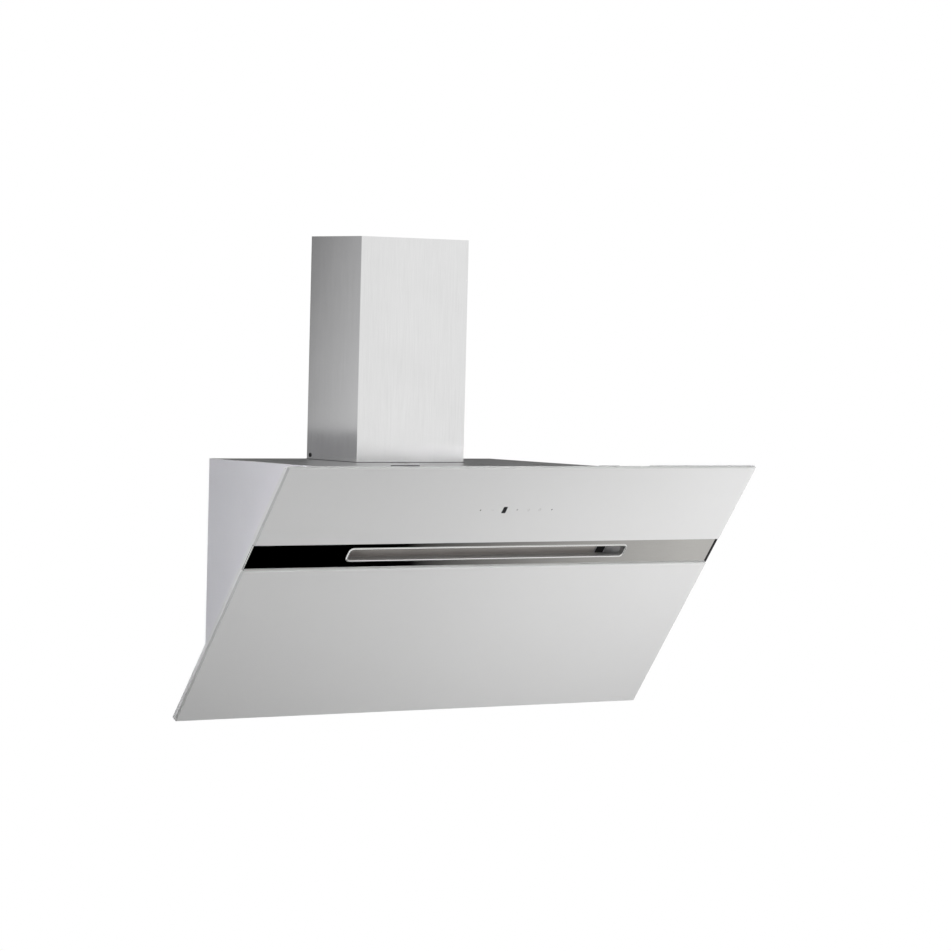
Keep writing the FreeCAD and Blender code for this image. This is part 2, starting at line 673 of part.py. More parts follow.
# ================================================================ hinges and catches
def hinge_screws_moving():
    """Screws of the two moving leaves, as (x, s)."""
    s = HINGE_S + HINGE_LEAF_LENGTH - HINGE_LEAF_SCREW_IN
    step = HINGE_LEAF_SCREW_DX
    return [(side * HINGE_X + dx, s) for side in (-1, 1) for dx in (-step, step)]


def hinge_screws_fixed():
    """Screws of the two fixed brackets, as (x, s)."""
    s = fixed_leaf_top() + FIXED_LEAF_LENGTH - FIXED_LEAF_SCREW_IN
    step = FIXED_LEAF_SCREW_DX
    return [(side * HINGE_X + dx, s) for side in (-1, 1) for dx in (-step, step)]


def fixed_leaf_top():
    """Where the fixed leaf starts, just under the deck edge."""
    return slope_s(DECK_Z - SHEET, FRONT_DEPTH) + FIXED_LEAF_GAP


def hinge_eye(x0, x1, radius):
    """Round end of a hinge ear."""
    return rod(radius, x1 - x0, V(x0, HINGE_S, HINGE_DEPTH), X_AXIS)


def hinge_bracket():
    """Fixed half of the right hinge: leaf on the front frame and two ears."""
    half = HINGE_WIDTH / 2
    back = FRONT_DEPTH
    s0 = fixed_leaf_top()
    s1 = s0 + FIXED_LEAF_LENGTH
    parts = [box(HINGE_X - half, HINGE_X + half, s0, s1, back - HINGE_PLATE, back)]
    for x0 in (HINGE_X - half, HINGE_X + half - HINGE_EAR):
        x1 = x0 + HINGE_EAR
        outline = [
            (HINGE_S - HINGE_EAR_TIP, HINGE_DEPTH - HINGE_EAR_TIP),
            (HINGE_S + HINGE_EAR_TIP, HINGE_DEPTH - HINGE_EAR_TIP),
            (s0 + HINGE_EAR_ROOT, back - HINGE_PLATE), (s0, back - HINGE_PLATE),
        ]
        parts += [prism_x(outline, x0, x1), hinge_eye(x0, x1, HINGE_EYE_R)]
    bracket = fused(parts).cut(hinge_eye(HINGE_X - half, HINGE_X + half, HINGE_PIN_R + RUN_FIT))
    for x, s in hinge_screws_fixed():
        bracket = bracket.cut(slope_hole(x, s, back - 2 * HINGE_PLATE, back))
    return lean(bracket)


def hinge_leaf():
    """Moving half of the right hinge: leaf on the tray and two ears."""
    half = HINGE_WIDTH / 2 - HINGE_EAR - SEAT_GAP
    front = TRAY_BACK
    s0 = HINGE_S - HINGE_EYE_R
    s1 = HINGE_S + HINGE_LEAF_LENGTH
    parts = [box(HINGE_X - half, HINGE_X + half, s0, s1, front, front + HINGE_PLATE)]
    for x0 in (HINGE_X - half, HINGE_X + half - HINGE_EAR):
        x1 = x0 + HINGE_EAR
        ear = box(x0, x1, s0, HINGE_S + HINGE_EYE_R, front, HINGE_DEPTH)
        parts += [ear, hinge_eye(x0, x1, HINGE_EYE_R)]
    leaf = fused(parts).cut(hinge_eye(HINGE_X - half, HINGE_X + half, HINGE_PIN_R))
    for x, s in hinge_screws_moving():
        leaf = leaf.cut(slope_hole(x, s, front, front + HINGE_PLATE))
    return lean(leaf)


def hinge_pin():
    """Pin of the right hinge, fast in the moving leaf, with two heads."""
    half = HINGE_WIDTH / 2 + SEAT_GAP
    shank = hinge_eye(HINGE_X - half, HINGE_X + half, HINGE_PIN_R)
    heads = [
        hinge_eye(HINGE_X - half - PIN_HEAD, HINGE_X - half, PIN_HEAD_R),
        hinge_eye(HINGE_X + half, HINGE_X + half + PIN_HEAD, PIN_HEAD_R),
    ]
    return lean(fused([shank] + heads))


def hinge_fixed_screws():
    """Screws that hold the fixed brackets, driven from the front."""
    back = FRONT_DEPTH - HINGE_PLATE
    screws = []
    for x, s in hinge_screws_fixed():
        head = rod(SCREW_HEAD_R, SCREW_HEAD, V(x, s, back - SCREW_HEAD), Z_AXIS)
        shank = rod(SCREW_R, HINGE_PLATE + SHEET + SCREW_REACH, V(x, s, back), Z_AXIS)
        screws.append(fused([head, shank]))
    return lean(Part.makeCompound(screws))


def hinge_leaf_screws():
    """Screws that hold the moving leaves on the tray."""
    length = HINGE_PLATE + BACK_SHEET + SCREW_REACH
    screws = [slope_screw(x, s, TRAY_BACK + HINGE_PLATE, length) for x, s in hinge_screws_moving()]
    return lean(Part.makeCompound(screws))


def catch_s():
    """Distance of the catches down the slope."""
    return slope_s(BOTTOM_Z, FRONT_DEPTH) - CATCH_UP


def strike_screws():
    """Screws of the two strike plates, as (x, s)."""
    half = STRIKE_SCREW_PITCH / 2
    return [(side * CATCH_X + dx, catch_s()) for side in (-1, 1) for dx in (-half, half)]


def catches():
    """Two magnet blocks on the front frame that hold the panel shut."""
    half = CATCH_WIDTH / 2
    s = catch_s()
    front = TRAY_BACK + STRIKE_THICK + SCREW_HEAD + SEAT_GAP
    block = box(CATCH_X - half, CATCH_X + half, s - CATCH_LENGTH / 2, s + CATCH_LENGTH / 2, front, FRONT_DEPTH)
    upright = [edge for edge in block.Edges if edge.BoundBox.ZLength > (FRONT_DEPTH - front) / 2]
    return lean(pair(block.makeFillet(CATCH_CORNER_R, upright)))


def strike_plates():
    """Two steel plates on the back of the tray, opposite the magnets."""
    half = CATCH_WIDTH / 2
    s = catch_s()
    reach = CATCH_LENGTH / 2
    plate = box(CATCH_X - half, CATCH_X + half, s - reach, s + reach, TRAY_BACK, TRAY_BACK + STRIKE_THICK)
    plates = pair(plate)
    for x, hole_s in strike_screws():
        plates = plates.cut(slope_hole(x, hole_s, TRAY_BACK, TRAY_BACK + STRIKE_THICK))
    return lean(plates)


def strike_plate_screws():
    """Screws of the strike plates."""
    length = STRIKE_THICK + BACK_SHEET + SCREW_REACH
    screws = [slope_screw(x, s, TRAY_BACK + STRIKE_THICK, length) for x, s in strike_screws()]
    return lean(Part.makeCompound(screws))


def bumpers():
    """Four rubber studs between the front frame and the panel."""
    top = fixed_leaf_top() + BUMPER_INSET
    low = slope_s(BOTTOM_Z, FRONT_DEPTH) - BUMPER_INSET
    front = TRAY_BACK + SEAT_GAP
    studs = [
        rod(BUMPER_R, FRONT_DEPTH - front, V(side * BUMPER_X, s, front), Z_AXIS)
        for side in (-1, 1) for s in (top, low)
    ]
    return lean(Part.makeCompound(studs))


def cable_duct():
    """Black cover on the deck edge that guides the control cable to the panel."""
    half = CABLE_DUCT_WIDTH / 2
    front = DUCT_REAR_Y - CABLE_DUCT_FRONT
    cover = box(CABLE_DUCT_X - half, CABLE_DUCT_X + half, front, front + CABLE_DUCT_LENGTH,
                DECK_Z, DECK_Z + CABLE_DUCT_HEIGHT)
    top = [edge for edge in cover.Edges if edge.BoundBox.ZMin > DECK_Z + CABLE_DUCT_HEIGHT / 2]
    return cover.makeFillet(CABLE_DUCT_EDGE_R, top)


# ================================================================ chimney
def folded_bar(half, front_y, rear_y, z0, z1, radius):
    """Upright block with its four upright edges rounded."""
    block = box(-half, half, front_y, rear_y, z0, z1)
    upright = [edge for edge in block.Edges if edge.BoundBox.ZLength > (z1 - z0) / 2]
    return block.makeFillet(radius, upright)


def chimney_cover(width, front_y, rear_y, z0, z1):
    """Three-sided cover with rounded folds and turned-in rear edges."""
    half = width / 2
    skin = folded_bar(half, front_y, rear_y, z0, z1, CHIMNEY_BEND_R)
    room = folded_bar(half - SHEET, front_y + SHEET, rear_y - SHEET, z0, z1, CHIMNEY_BEND_R - SHEET)
    gap = half - CHIMNEY_RETURN
    return skin.cut(room).cut(box(-gap, gap, rear_y - SHEET, rear_y, z0, z1))


def chimney_screw_places():
    """Side screws of the fixed cover, as (side, y, z)."""
    y = CHIMNEY_REAR_Y - CHIMNEY_SCREW_IN
    return [(side, y, DECK_Z + CHIMNEY_SCREW_UP) for side in (-1, 1)]


def lower_chimney():
    """Fixed cover, screwed to brackets on the deck."""
    cover = chimney_cover(CHIMNEY_WIDTH, CHIMNEY_FRONT_Y, CHIMNEY_REAR_Y,
                          DECK_Z, DECK_Z + CHIMNEY_HEIGHT)
    for side, y, z in chimney_screw_places():
        x = side * CHIMNEY_WIDTH / 2
        cover = cover.cut(rod(SCREW_R, 2 * SHEET, V(x, y, z), V(-side, 0, 0)))
    return cover


def upper_chimney():
    """Sliding cover, nested inside the fixed one."""
    gap = SHEET + CHIMNEY_SLIDE_FIT
    return chimney_cover(CHIMNEY_WIDTH - 2 * gap, CHIMNEY_FRONT_Y + gap, CHIMNEY_REAR_Y - gap,
                         UPPER_CHIMNEY_Z, DECK_Z + CHIMNEY_HEIGHT - UPPER_CHIMNEY_DROP)


def chimney_brackets():
    """Two angles on the deck, inside the fixed cover."""
    x1 = CHIMNEY_WIDTH / 2 - SHEET
    t = CHIMNEY_BRACKET_THICK
    y1 = CHIMNEY_REAR_Y - 2 * SHEET
    y0 = y1 - CHIMNEY_BRACKET
    wall = box(x1 - t, x1, y0, y1, DECK_Z, DECK_Z + CHIMNEY_BRACKET_HEIGHT)
    foot = box(x1 - CHIMNEY_BRACKET_HEIGHT, x1, y0, y1, DECK_Z, DECK_Z + t)
    angle = fused([wall, foot])
    _, y, z = chimney_screw_places()[1]
    angle = angle.cut(rod(SCREW_R, 3 * t, V(x1 + t, y, z), V(-1, 0, 0)))
    return pair(angle)


def chimney_screws():
    """Black screws through the sides of the fixed cover."""
    screws = []
    for side, y, z in chimney_screw_places():
        face = side * CHIMNEY_WIDTH / 2
        head = rod(SCREW_HEAD_R, SCREW_HEAD, V(face, y, z), V(side, 0, 0))
        shank = rod(SCREW_R, SHEET + CHIMNEY_BRACKET_THICK + SCREW_REACH, V(face, y, z), V(-side, 0, 0))
        screws.append(fused([head, shank]))
    return Part.makeCompound(screws)


# ================================================================ outlet
def spigot():
    """Round collar for the duct, with a seat ring for the flaps."""
    centre = V(0, SPIGOT_Y, DECK_Z)
    bore = SPIGOT_R - SPIGOT_WALL
    wall = tube(SPIGOT_R, bore, SPIGOT_HEIGHT, centre, Z_AXIS)
    flange = tube(SPIGOT_FLANGE_R, bore, SPIGOT_FLANGE, centre, Z_AXIS)
    ring_top = DECK_Z + FLAP_UP - FLAP_EYE_R - SEAT_GAP
    ring = tube(bore + FLAP_RING_BITE, bore - FLAP_RING, FLAP_RING, V(0, SPIGOT_Y, ring_top - FLAP_RING), Z_AXIS)
    collar = fused([wall, flange, ring])
    pin = rod(FLAP_PIN_R, 2 * SPIGOT_R, V(-SPIGOT_R, SPIGOT_Y, DECK_Z + FLAP_UP), X_AXIS)
    return collar.cut(pin)


def flap_pin():
    """Rod across the collar that both flaps turn on."""
    reach = SPIGOT_R - SPIGOT_PIN_SHORT
    return rod(FLAP_PIN_R, 2 * reach, V(-reach, SPIGOT_Y, DECK_Z + FLAP_UP), X_AXIS)


def flap(side):
    """Half disc with two eyes; side -1 opens towards the room, +1 towards the wall."""
    z = DECK_Z + FLAP_UP
    low = z - FLAP_EYE_R
    radius = SPIGOT_R - SPIGOT_WALL - FLAP_PLAY
    centre = V(0, SPIGOT_Y, low)
    disc = rod(radius, FLAP_THICK, centre, Z_AXIS)
    near = FLAP_EYE_R + SEAT_GAP
    y0, y1 = sorted((SPIGOT_Y + side * near, SPIGOT_Y + side * radius * 2))
    leaf = disc.common(box(-radius, radius, y0, y1, low, low + FLAP_THICK))
    parts = [leaf]
    for start in flap_eye_starts(side):
        end = start + FLAP_EYE_LENGTH
        parts.append(rod(FLAP_EYE_R, FLAP_EYE_LENGTH, V(start, SPIGOT_Y, z), X_AXIS))
        y0, y1 = sorted((SPIGOT_Y, SPIGOT_Y + side * (near + FLAP_TENON)))
        parts.append(box(start, end, y0, y1, low, low + FLAP_THICK))
    bore = rod(FLAP_PIN_R + RUN_FIT, 2 * radius, V(-radius, SPIGOT_Y, z), X_AXIS)
    return fused(parts).cut(bore)


def flap_eye_starts(side):
    """Left ends of the two eyes of a flap; the two flaps' eyes alternate."""
    step = FLAP_EYE_LENGTH + 2 * SEAT_GAP
    if side < 0:
        return [-2 * step, step]
    return [-step, 2 * step]


def cable_grommet():
    """Rubber bush in the deck where the mains cable leaves."""
    start = V(GROMMET_X, GROMMET_Y, DECK_Z - SHEET)
    neck = rod(GROMMET_R, SHEET, start, Z_AXIS)
    low = rod(GROMMET_R + GROMMET_LIP, GROMMET_COLLAR, start - V(0, 0, GROMMET_COLLAR), Z_AXIS)
    high = rod(GROMMET_R + GROMMET_LIP, GROMMET_COLLAR, start + V(0, 0, SHEET), Z_AXIS)
    length = 2 * GROMMET_COLLAR + SHEET
    hole = rod(GROMMET_BORE_R, length, start - V(0, 0, GROMMET_COLLAR), Z_AXIS)
    return fused([neck, low, high]).cut(hole)


# ================================================================ blower
def blower_point(x, angle, radius):
    """Point of the blower at an angle from the wall side, turning upwards."""
    return V(x, BLOWER_Y + radius * math.cos(angle), BLOWER_Z + radius * math.sin(angle))


def scroll_face(x, grow):
    """Spiral outline with its straight outlet neck, grown all round.

    The spiral is a chain of arcs, each through three points of it.
    """
    neck_front = SCROLL_R_MAX - SCROLL_NECK - grow
    cut_off = math.acos(neck_front / (SCROLL_R_MIN + grow))
    spiral = []
    for index in range(2 * SCROLL_STEPS + 1):
        share = index / (2 * SCROLL_STEPS)
        radius = SCROLL_R_MAX - (SCROLL_R_MAX - SCROLL_R_MIN) * share + grow
        spiral.append(blower_point(x, (cut_off - 2 * math.pi) * share, radius))
    arcs = [
        Part.Arc(spiral[index], spiral[index + 1], spiral[index + 2]).toShape()
        for index in range(0, 2 * SCROLL_STEPS, 2)
    ]
    top = DECK_Z - SHEET - ADAPTER_HEIGHT
    rear = V(x, spiral[0].y, top)
    front = V(x, spiral[-1].y, top)
    neck = [
        Part.makeLine(spiral[-1], front), Part.makeLine(front, rear), Part.makeLine(rear, spiral[0]),
    ]
    return Part.Face(Part.Wire(arcs + neck))


def funnel(grow):
    """Body that changes from the blower's square neck to the round outlet.

    It is folded from flat sheet: four flat sides, and in each corner a fan
    of flat triangles from the neck's corner to the outlet's rim.
    """
    z0, z1 = DECK_Z - SHEET - ADAPTER_HEIGHT, DECK_Z - SHEET
    half = SCROLL_WIDTH / 2 + grow
    y0 = BLOWER_Y + SCROLL_R_MAX - SCROLL_NECK - grow
    y1 = BLOWER_Y + SCROLL_R_MAX + grow
    neck = [V(half, y1, z0), V(-half, y1, z0), V(-half, y0, z0), V(half, y0, z0)]
    radius = SPIGOT_R - SPIGOT_WALL + SCROLL_WALL + grow
    rim = []
    for index in range(4 * ADAPTER_FOLDS):
        angle = math.pi / 2 * index / ADAPTER_FOLDS
        rim.append(V(radius * math.cos(angle), SPIGOT_Y + radius * math.sin(angle), z1))
    faces = [neck, rim]
    for corner, point in enumerate(neck):
        first = corner * ADAPTER_FOLDS
        fan = [rim[(first + index) % len(rim)] for index in range(ADAPTER_FOLDS + 1)]
        faces += [[point, a, b] for a, b in zip(fan, fan[1:])]
        faces.append([point, fan[-1], neck[(corner + 1) % 4]])
    shell = Part.makeShell([Part.Face(Part.makePolygon(face + face[:1])) for face in faces])
    body = Part.makeSolid(shell)
    if body.Volume < 0:
        body.reverse()
    return body


def outlet_adapter():
    """Sheet funnel between the blower's neck and the deck."""
    return funnel(0).cut(funnel(-SCROLL_WALL))


def scroll_wrap():
    """Curved wall of the blower housing, up to the deck."""
    half = SCROLL_WIDTH / 2
    outer = scroll_face(-half, 0).extrude(V(SCROLL_WIDTH, 0, 0))
    inner = scroll_face(-half, -SCROLL_WALL).extrude(V(SCROLL_WIDTH, 0, 0))
    return outer.cut(inner)


def scroll_side():
    """Right cheek of the blower housing with its inlet lip."""
    x0 = SCROLL_WIDTH / 2
    cheek = scroll_face(x0, 0).extrude(V(SCROLL_WALL, 0, 0))
    lip = rod(INLET_R + SCROLL_WALL, INLET_LIP, V(x0, BLOWER_Y, BLOWER_Z), X_AXIS)
    hole = rod(INLET_R, INLET_LIP, V(x0, BLOWER_Y, BLOWER_Z), X_AXIS)
    return fused([cheek, lip]).cut(hole)


def impeller():
    """Double-inlet wheel: hub disc, end rings and swept blades."""
    half = IMPELLER_WIDTH / 2
    centre = V(0, BLOWER_Y, BLOWER_Z)
    disc = rod(IMPELLER_R, IMPELLER_RING, centre - V(IMPELLER_RING / 2, 0, 0), X_AXIS)
    hub = rod(IMPELLER_HUB_R, IMPELLER_HUB_LENGTH, centre - V(IMPELLER_HUB_OFFSET, 0, 0), X_AXIS)
    rings = [
        tube(IMPELLER_R, IMPELLER_BORE_R, IMPELLER_RING, centre + V(x, 0, 0), X_AXIS)
        for x in (-half, half - IMPELLER_RING)
    ]
    blades = [blade(2 * math.pi * index / IMPELLER_BLADES) for index in range(IMPELLER_BLADES)]
    wheel = fused([disc, hub] + rings + blades)
    return wheel.cut(rod(SHAFT_R, IMPELLER_WIDTH, centre - V(half, 0, 0), X_AXIS))


def blade(angle):
    """One flat blade, swept back from the bore to the rim."""
    half = IMPELLER_WIDTH / 2
    inner = blower_point(-half, angle, IMPELLER_BORE_R + BLADE_TENON)
    outer = blower_point(-half, angle - math.radians(BLADE_SWEEP), IMPELLER_R - BLADE_TENON)
    along = outer - inner
    across = V(0, -along.z, along.y).normalize() * (BLADE_THICK / 2)
    corners = [inner + across, outer + across, outer - across, inner - across]
    face = Part.Face(Part.makePolygon(corners + corners[:1]))
    return face.extrude(V(IMPELLER_WIDTH, 0, 0))


def motor_start():
    """X of the motor's inner end."""
    return IMPELLER_RING / 2 + MOTOR_GAP


def motor_shaft():
    """Shaft that carries the wheel; it runs in the motor's bearings."""
    start = V(-SHAFT_END, BLOWER_Y, BLOWER_Z)
    return rod(SHAFT_R, motor_start() + MOTOR_LENGTH + SHAFT_END, start, X_AXIS)


def motor():
    """Motor can with a bevelled inner end, inside the right half of the wheel."""
    x0 = motor_start()
    start = V(x0, BLOWER_Y, BLOWER_Z)
    straight = rod(MOTOR_R, MOTOR_LENGTH - MOTOR_BEVEL, start + V(MOTOR_BEVEL, 0, 0), X_AXIS)
    cap = Part.makeCone(MOTOR_R - MOTOR_BEVEL, MOTOR_R, MOTOR_BEVEL, start, X_AXIS)
    bore = rod(SHAFT_R + RUN_FIT, MOTOR_LENGTH, start, X_AXIS)
    return fused([straight, cap]).cut(bore)


def motor_spider():
    """Three-armed carrier that hangs the motor from posts round the right inlet."""
    x0 = motor_start() + MOTOR_LENGTH
    centre = V(x0, BLOWER_Y, BLOWER_Z)
    hub = tube(SPIDER_HUB_R, SHAFT_R + SPIDER_BORE_PLAY, SPIDER_THICK, centre, X_AXIS)
    posts_start = SCROLL_WIDTH / 2 + SCROLL_WALL
    post_r = INLET_R + SCROLL_WALL + SPIDER_POST_OUT
    post = rod(SPIDER_POST_R, x0 + SPIDER_THICK - posts_start,
               V(posts_start, BLOWER_Y, BLOWER_Z + post_r), X_AXIS)
    arm = box(x0, x0 + SPIDER_THICK, BLOWER_Y - SPIDER_ARM / 2, BLOWER_Y + SPIDER_ARM / 2,
              BLOWER_Z + SPIDER_ROOT_R, BLOWER_Z + post_r)
    limb = fused([arm, post])
    limbs = []
    for index in range(SPIDER_ARMS):
        turned = limb.copy()
        turned.rotate(centre, X_AXIS, 360 / SPIDER_ARMS * index)
        limbs.append(turned)
    return fused([hub] + limbs)


def blower_brackets():
    """Two angles that tie the blower housing to the rear sheet."""
    z0 = BLOWER_Z - BLOWER_BRACKET_DROP
    z1 = BLOWER_Z + BLOWER_BRACKET_DROP
    half = BLOWER_BRACKET_WIDTH / 2
    x = BLOWER_BRACKET_X
    rear = -SHEET
    t, step = BLOWER_BRACKET_THICK, BLOWER_BRACKET_STEP
    plate = box(x - half, x + half, rear - t, rear, z0, z1)
    web = box(x - t / 2, x + t / 2, BLOWER_Y, rear, z0 + step, z1 - step)
    angle = fused([plate, web])
    scroll = scroll_face(-SCROLL_WIDTH / 2, 0).extrude(V(SCROLL_WIDTH, 0, 0))
    return pair(angle.cut(scroll))


# ================================================================ electrics and lamps
def control_box():
    """Open tray of the electronics box on the rear sheet."""
    x0, x1 = BOX_X - BOX_WIDTH / 2, BOX_X + BOX_WIDTH / 2
    z0, z1 = BOX_UP - BOX_HEIGHT / 2, BOX_UP + BOX_HEIGHT / 2
    rear = -SHEET
    outer = box(x0, x1, rear - BOX_DEPTH, rear, z0, z1)
    room = box(x0 + BOX_WALL, x1 - BOX_WALL, rear - BOX_DEPTH, rear - BOX_WALL, z0 + BOX_WALL, z1 - BOX_WALL)
    return outer.cut(room)


def control_box_lid():
    """Lid of the electronics box."""
    x0, x1 = BOX_X - BOX_WIDTH / 2, BOX_X + BOX_WIDTH / 2
    z0, z1 = BOX_UP - BOX_HEIGHT / 2, BOX_UP + BOX_HEIGHT / 2
    front = -SHEET - BOX_DEPTH
    lid = box(x0, x1, front - BOX_LID, front, z0, z1)
    upright = [edge for edge in lid.Edges if edge.BoundBox.YLength > BOX_LID / 2]
    return lid.makeFillet(BOX_LID_CORNER_R, upright)


def lamp_can():
    """Right lamp holder: bezel under the bottom sheet and a can above it."""
    centre = V(LAMP_X, LAMP_Y, BOTTOM_Z)
    bezel = tube(LAMP_BEZEL_R, LAMP_R - LAMP_WALL, LAMP_BEZEL, centre - V(0, 0, LAMP_BEZEL), Z_AXIS)
    can = rod(LAMP_R, LAMP_HEIGHT, centre, Z_AXIS)
    room = rod(LAMP_R - LAMP_WALL, LAMP_HEIGHT - LAMP_WALL, centre, Z_AXIS)
    return fused([bezel, can.cut(room)])


def lamp_lens():
    """Right lens, a frosted disc inside the bezel."""
    start = V(LAMP_X, LAMP_Y, BOTTOM_Z - LAMP_BEZEL / 2)
    return rod(LAMP_R - LAMP_WALL, LENS_THICK, start, Z_AXIS)


# ================================================================ the assembly
def build():
    """Every node of the hood by name."""
    nodes = {
        "side_right": side_panel(),
        "side_left": mirrored(side_panel()),
        "deck": deck(),
        "back_plate": back_plate(),
        "bolt_plates": bolt_plates(),
        "bottom_plate": bottom_plate(),
        "front_frame": front_frame(),
        "filter_left": grease_filter(-1),
        "filter_right": grease_filter(1),
        "latch_left": filter_latch(-1),
        "latch_right": filter_latch(1),
        "tray": tray(),
        "tray_back": tray_back(),
        "glass_tapes": glass_tapes(),
        "upper_glass": glass_sheet(0, UPPER_GLASS_LENGTH),
        "lower_glass": glass_sheet(BAND_END_S, PANEL_LENGTH),
        "band": band(),
        "slot_rim": slot_rim(),
        "channel_plate": channel_plate(),
        "channel_ends": channel_ends(),
        "deflector": deflector(),
        "touch_board": touch_board(),
        "display": display(),
        "hinge_bracket_right": hinge_bracket(),
        "hinge_bracket_left": mirrored(hinge_bracket()),
        "hinge_leaf_right": hinge_leaf(),
        "hinge_leaf_left": mirrored(hinge_leaf()),
        "hinge_pin_right": hinge_pin(),
        "hinge_pin_left": mirrored(hinge_pin()),
        "hinge_bracket_screws": hinge_fixed_screws(),
        "hinge_leaf_screws": hinge_leaf_screws(),
        "catches": catches(),
        "strike_plates": strike_plates(),
        "strike_plate_screws": strike_plate_screws(),
        "bumpers": bumpers(),
        "cable_duct": cable_duct(),
        "lower_chimney": lower_chimney(),
        "upper_chimney": upper_chimney(),
        "chimney_brackets": chimney_brackets(),
        "chimney_screws": chimney_screws(),
        "spigot": spigot(),
        "flap_pin": flap_pin(),
        "flap_front": flap(-1),
        "flap_rear": flap(1),
        "cable_grommet": cable_grommet(),
        "scroll_wrap": scroll_wrap(),
        "outlet_adapter": outlet_adapter(),
        "scroll_side_right": scroll_side(),
        "scroll_side_left": mirrored(scroll_side()),
        "impeller": impeller(),
        "motor_shaft": motor_shaft(),
        "motor": motor(),
        "motor_spider": motor_spider(),
        "blower_brackets": blower_brackets(),
        "control_box": control_box(),
        "control_box_lid": control_box_lid(),
        "lamp_can_right": lamp_can(),
        "lamp_can_left": mirrored(lamp_can()),
        "lamp_lens_right": lamp_lens(),
        "lamp_lens_left": mirrored(lamp_lens()),
    }
    return nodes


def main():
    """Write one STEP file for each node."""
    os.makedirs("parts", exist_ok=True)
    for name, shape in build().items():
        shape.exportStep(f"parts/{name}.step")
        print(name, len(shape.Solids), round(shape.Volume), shape.isValid())


main()
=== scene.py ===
"""Looks of an angled wall-chimney range hood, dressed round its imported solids.

The leaning front of the hood is drawn in slope coordinates (x, s, d): s runs
down the panel from the top edge of the glass and d runs into the hood from
the glass face. Lengths are written in millimetres and are turned into metres
when a piece is placed. Places and lengths of the studio are in metres.
"""
from __future__ import annotations

import json
import logging
import math
from dataclasses import dataclass
from enum import Enum
from typing import Any, Iterable, Sequence

import bpy
import numpy as np
from mathutils import Matrix, Vector

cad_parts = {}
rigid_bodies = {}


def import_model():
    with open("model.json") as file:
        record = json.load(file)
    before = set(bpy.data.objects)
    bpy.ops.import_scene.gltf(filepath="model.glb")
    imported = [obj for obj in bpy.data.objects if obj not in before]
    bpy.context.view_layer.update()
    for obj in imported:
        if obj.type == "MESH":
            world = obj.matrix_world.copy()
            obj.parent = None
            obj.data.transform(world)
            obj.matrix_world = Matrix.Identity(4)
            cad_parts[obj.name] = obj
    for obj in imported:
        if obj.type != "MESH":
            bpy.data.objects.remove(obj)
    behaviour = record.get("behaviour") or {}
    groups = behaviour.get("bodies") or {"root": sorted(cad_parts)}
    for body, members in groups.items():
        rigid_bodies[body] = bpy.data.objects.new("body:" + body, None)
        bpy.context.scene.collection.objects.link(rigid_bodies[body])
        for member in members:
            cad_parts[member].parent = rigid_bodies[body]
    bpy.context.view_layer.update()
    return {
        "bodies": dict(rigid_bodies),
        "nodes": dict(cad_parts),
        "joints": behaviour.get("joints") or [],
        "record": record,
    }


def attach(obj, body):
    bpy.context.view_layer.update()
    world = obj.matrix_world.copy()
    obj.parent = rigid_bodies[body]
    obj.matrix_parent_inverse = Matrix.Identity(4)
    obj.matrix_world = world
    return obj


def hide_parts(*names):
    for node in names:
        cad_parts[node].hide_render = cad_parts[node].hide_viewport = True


LOG = logging.getLogger("hood")
MM = 0.001
Colour = tuple[float, float, float]
Points = np.ndarray


# ------------------------------------------------------------------ surfaces
def quads(count: int, size: int, closed: bool) -> Points:
    """Corner numbers of the cells between rings of points, ring by ring.

    Args:
        count: number of rings.
        size: number of points in each ring, whose last point joins its first.
        closed: whether the last ring joins the first.

    Returns:
        An array of four point numbers for each cell.
    """
    i = np.arange(count if closed else count - 1)[:, None]
    j = np.arange(size)[None, :]
    down, right = (i + 1) % count, (j + 1) % size
    corners = [i * size + j, i * size + right, down * size + right, down * size + j]
    return np.stack(np.broadcast_arrays(*corners), axis=-1).reshape(-1, 4)


@dataclass
class Shell:
    """One closed surface: its points, its four-sided cells and its flat ends."""

    points: Points
    cells: Points
    ends: list[Points]
    cell_finish: Points
    end_finish: list[int]
    smooth: bool = False

    def volume(self) -> float:
        """Signed volume: the sum over triangles of a . (b x c) / 6."""
        fans = [self.cells[:, [0, 1, 2]], self.cells[:, [0, 2, 3]]]
        for end in self.ends:
            first = np.full(len(end) - 2, end[0])
            fans.append(np.stack([first, end[1:-1], end[2:]], axis=1))
        a, b, c = (self.points[np.concatenate(fans)[:, k]] for k in range(3))
        return float(np.einsum("ij,ij->i", a, np.cross(b, c)).sum() / 6)

    def outward(self) -> Shell:
        """The same surface with every face turned outwards."""
        if self.volume() < 0:
            self.cells = self.cells[:, ::-1]
            self.ends = [end[::-1] for end in self.ends]
        return self


def loft(rings: Points, finish: Sequence[int] | int = 0, ends: tuple[int, int] = (0, 0),
         closed: bool = False, smooth: bool = False) -> Shell:
    """Skin over rings of points that match one to one.

    Args:
        rings: array (ring, point, 3); each ring is a closed line.
        finish: finish number of every cell, or one number for each step
            between two rings.
        ends: finish numbers of the first and the last flat end.
        closed: whether the last ring joins the first, which leaves no ends.
        smooth: whether the cells are shaded smooth.

    Returns:
        The closed shell, with its faces outwards.
    """
    count, size = rings.shape[:2]
    steps = count if closed else count - 1
    each = np.full(steps, finish) if isinstance(finish, int) else np.asarray(finish)
    caps = [] if closed else [np.arange(size), (count - 1) * size + np.arange(size)[::-1]]
    shell = Shell(rings.reshape(-1, 3), quads(count, size, closed), caps,
                  np.repeat(each, size), list(ends) if caps else [], smooth)
    return shell.outward()


def place_object(name: str, data: bpy.types.ID) -> bpy.types.Object:
    """A new object at the origin, linked to the scene."""
    item = bpy.data.objects.new(name, data)
    bpy.context.scene.collection.objects.link(item)
    return item


